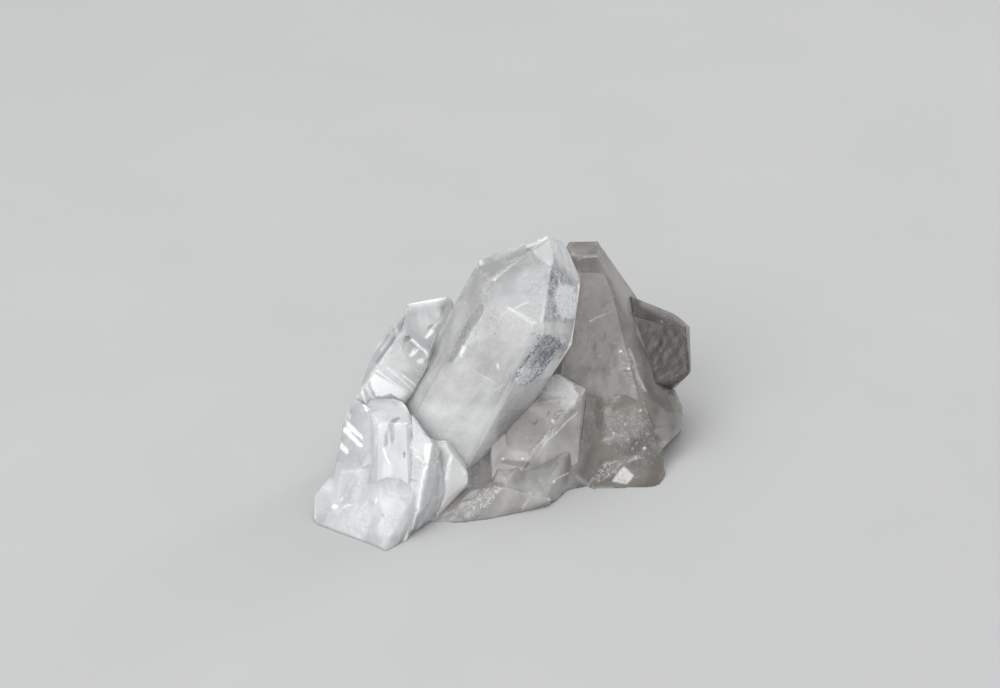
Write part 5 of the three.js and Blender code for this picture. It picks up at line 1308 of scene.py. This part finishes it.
# ---------------------------------------------------------------- broken root
def build_root():
    objs = []
    for k, pts in list(ROOT_LUMPS.items()) + list(BRIDGES.items()):
        bm = bmesh.new()
        for p in pts:
            bm.verts.new(Vector(p) * MM)
        r = bmesh.ops.convex_hull(bm, input=bm.verts)
        junk = [g for g in r['geom_interior'] + r['geom_unused'] if isinstance(g, bmesh.types.BMVert)]
        bmesh.ops.delete(bm, geom=list(set(junk)), context='VERTS')
        me = bpy.data.meshes.new(k)
        bm.to_mesh(me)
        bm.free()
        objs.append(me)
    bm = bmesh.new()
    for me in objs:
        bm.from_mesh(me)
    joined = bpy.data.meshes.new('root_joined')
    bm.to_mesh(joined)
    bm.free()
    ob = bpy.data.objects.new('root_tmp', joined)
    scene.collection.objects.link(ob)
    mod = ob.modifiers.new('r', 'REMESH')
    mod.mode = 'VOXEL'
    mod.voxel_size = 0.00042
    dg = bpy.context.evaluated_depsgraph_get()
    ev = ob.evaluated_get(dg)
    me = bpy.data.meshes.new_from_object(ev)
    bpy.data.objects.remove(ob)
    nv = len(me.vertices)
    P = np.zeros(nv * 3)
    me.vertices.foreach_get('co', P)
    P = P.reshape(-1, 3) / MM
    Nn = np.zeros(nv * 3)
    me.vertices.foreach_get('normal', Nn)
    Nn = Nn.reshape(-1, 3)
    faces = [tuple(p.vertices) for p in me.polygons]
    bpy.data.meshes.remove(me)
    for m in objs + [joined]:
        bpy.data.meshes.remove(m)
    # keep the largest connected surface: the remesh can leave a bubble inside
    root_of = list(range(nv))

    def find(a):
        while root_of[a] != a:
            root_of[a] = root_of[root_of[a]]
            a = root_of[a]
        return a

    for f in faces:
        a = find(f[0])
        for k in f[1:]:
            c = find(k)
            if c != a:
                root_of[c] = a
    group = np.array([find(k) for k in range(nv)])
    names, counts = np.unique(group, return_counts=True)
    keep = group == names[counts.argmax()]
    new = np.cumsum(keep) - 1
    faces = [tuple(int(new[k]) for k in f) for f in faces if keep[f[0]]]
    return P[keep], Nn[keep], faces


P, Nn, faces = build_root()
lo, hi = P.min(0), P.max(0)
warp = np.stack([fbm(P * 0.12 + 3, 1), fbm(P * 0.12 + 9, 2), fbm(P * 0.12 + 5, 3)], 1)
d1, d2, ident, off = cells(P * 0.21 + warp * 0.9, 5)
# flat breaks: every cell leans its own way
tilt = np.stack([np.sin(ident * 40), np.cos(ident * 57), np.sin(ident * 91)], 1)
step = (off * tilt).sum(1) * 0.8 + (ident - 0.5) * 0.6
e1, e2, id2, off2 = cells(P * 0.75 + warp * 1.5, 11)
tilt2 = np.stack([np.sin(id2 * 31), np.cos(id2 * 47), np.sin(id2 * 77)], 1)
gate = smooth(-0.1, 0.35, vnoise(P * 0.10, 77))
attrs = paint('root', P, Nn)
gate = np.maximum(gate * 0.7 * smooth(-10, 0, P[:, 1]) * (P[:, 0] < 20), attrs['spark'] * 0.8)
small = (off2 * tilt2).sum(1) * (0.02 + 0.38 * gate)
ripple = 0.06 * fbm(P * 0.35, 21, 3)
hind = smooth(-0.2, 0.35, Nn @ FRONT_IN)
quiet = 1 - 0.7 * smooth(12, 18, P[:, 0]) * (1 - hind)
disp = np.clip(-0.12 + (0.28 * quiet + 0.45 * hind) * step + 0.5 * small + ripple, -1.1, 0.35)
ground = smooth(0.0, 1.2, P[:, 2])
disp = disp * (0.25 + 0.75 * ground) * np.where(Nn[:, 2] < -0.6, 0.2, 1.0)
V = P + Nn * disp[:, None]
# big flat breaks round the back, where the cluster was prised off its rock
rr = np.random.default_rng(42)
pool = np.where((P[:, 1] > -2) & (P[:, 2] > 2.5) & (Nn[:, 1] + 0.6 * Nn[:, 2] > 0.5))[0]
for _ in range(34):
    j = int(rr.choice(pool))
    at = V[j]
    n = Nn[j] * 0.6 + np.array((0.0, 0.55, 0.45)) + rr.normal(size=3) * np.array((0.45, 0.2, 0.2))
    n /= np.linalg.norm(n)
    r = rr.uniform(4.0, 9.0)
    d = np.sqrt(((V - at) ** 2).sum(1))
    near = d < r * 1.3
    top = (V[near] @ n).max()
    over = V @ n - (top - rr.uniform(0.7, 1.9))
    m = near & (over > 0)
    w = 1 - smooth(r, r * 1.3, d[m])
    V[m] -= n * (over[m] * w)[:, None]
over = np.stack([V @ np.array(n) - d for n, d in NOTCH], 1)
pick = over.argmin(1)
deep = np.maximum(over.min(1), 0.0)
V = V - np.array([n for n, d in NOTCH])[pick] * (deep * smooth(0.0, 1.0, deep + 0.6))[:, None]
V[:, 2] = np.maximum(V[:, 2], 0.0)
V = np.minimum(np.maximum(V, lo), hi)
# lighter lines along the ridges between broken cells: bruised edges and a painted edge highlight
attrs['rim'] = (1 - smooth(0.0, 0.08, d2 - d1)) * 0.35 * smooth(0.0, 0.4, vnoise(P * 0.2, 91))

# The root darkens from left to right: partly its own warmer grey, partly painted shade on the side turned from the
# light. The painted pale patch keeps the left part, under the milky crystals, light.
root_mat = quartz('quartz_root', (0.3, 0.2, 1.0), clear=None, milky=None,
                  painted_dark=(0.15, 0.15, 0.15), transmission=0.35, rough=0.16, seed=9.0, speckle=0.15,
                  places=[(0.0, (0.66, 0.665, 0.675), (0.72, 0.725, 0.74)),
                          (-15.5, (0.36, 0.35, 0.34), (0.46, 0.445, 0.43)),
                          (14.0, (0.36, 0.35, 0.34), (0.46, 0.445, 0.43)),
                          (19.0, (0.20, 0.185, 0.168), (0.28, 0.26, 0.235))])
root = make_object('root_mass_look', V, faces, attrs, root_mat, sharp=38)
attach(root, 'root')
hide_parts('root_mass')
print('root faces', len(faces))

# ---------------------------------------------------------------- floor, light
bm = bmesh.new()
bmesh.ops.create_grid(bm, x_segments=24, y_segments=24, size=6.0)
me = bpy.data.meshes.new('floor')
bm.to_mesh(me)
bm.free()
floor = bpy.data.objects.new('floor', me)
scene.collection.objects.link(floor)
ft = Tree('floor_paper')
fv = ft.coords()
fcol = ft.mix(ft.noise(fv, 0.02, 3), (0.415, 0.415, 0.415), (0.445, 0.445, 0.445))
ft.put(ft.bsdf.inputs['Base Color'], fcol)
ft.bsdf.inputs['Roughness'].default_value = 0.85
me.materials.append(ft.mat)


def area(name, loc, target, size, power, color=(1, 1, 1)):
    d = bpy.data.lights.new(name, 'AREA')
    d.shape = 'RECTANGLE'
    d.size, d.size_y = size
    d.energy = power
    d.color = color
    o = bpy.data.objects.new(name, d)
    o.location = loc
    o.rotation_euler = (Vector(target) - Vector(loc)).to_track_quat('-Z', 'Y').to_euler()
    scene.collection.objects.link(o)
    return o


area('key', (-0.45, -0.85, 0.80), (0, 0, 0.02), (1.3, 1.0), 10.0, (1.0, 1.0, 0.99))
area('top', (-0.1, 0.25, 1.0), (0, 0, 0.02), (0.8, 0.6), 4.0, (0.98, 0.99, 1.0))
area('side_strip', (0.65, 0.55, 0.45), (0, 0, 0.03), (0.2, 0.7), 2.0, (1.0, 0.99, 0.97))

world = bpy.data.worlds.new('studio')
world.use_nodes = True
bg = world.node_tree.nodes['Background']
bg.inputs[0].default_value = (0.955, 0.965, 0.985, 1.0)
bg.inputs[1].default_value = 0.68
scene.world = world

scene.view_settings.view_transform = 'Standard'
scene.view_settings.look = 'None'
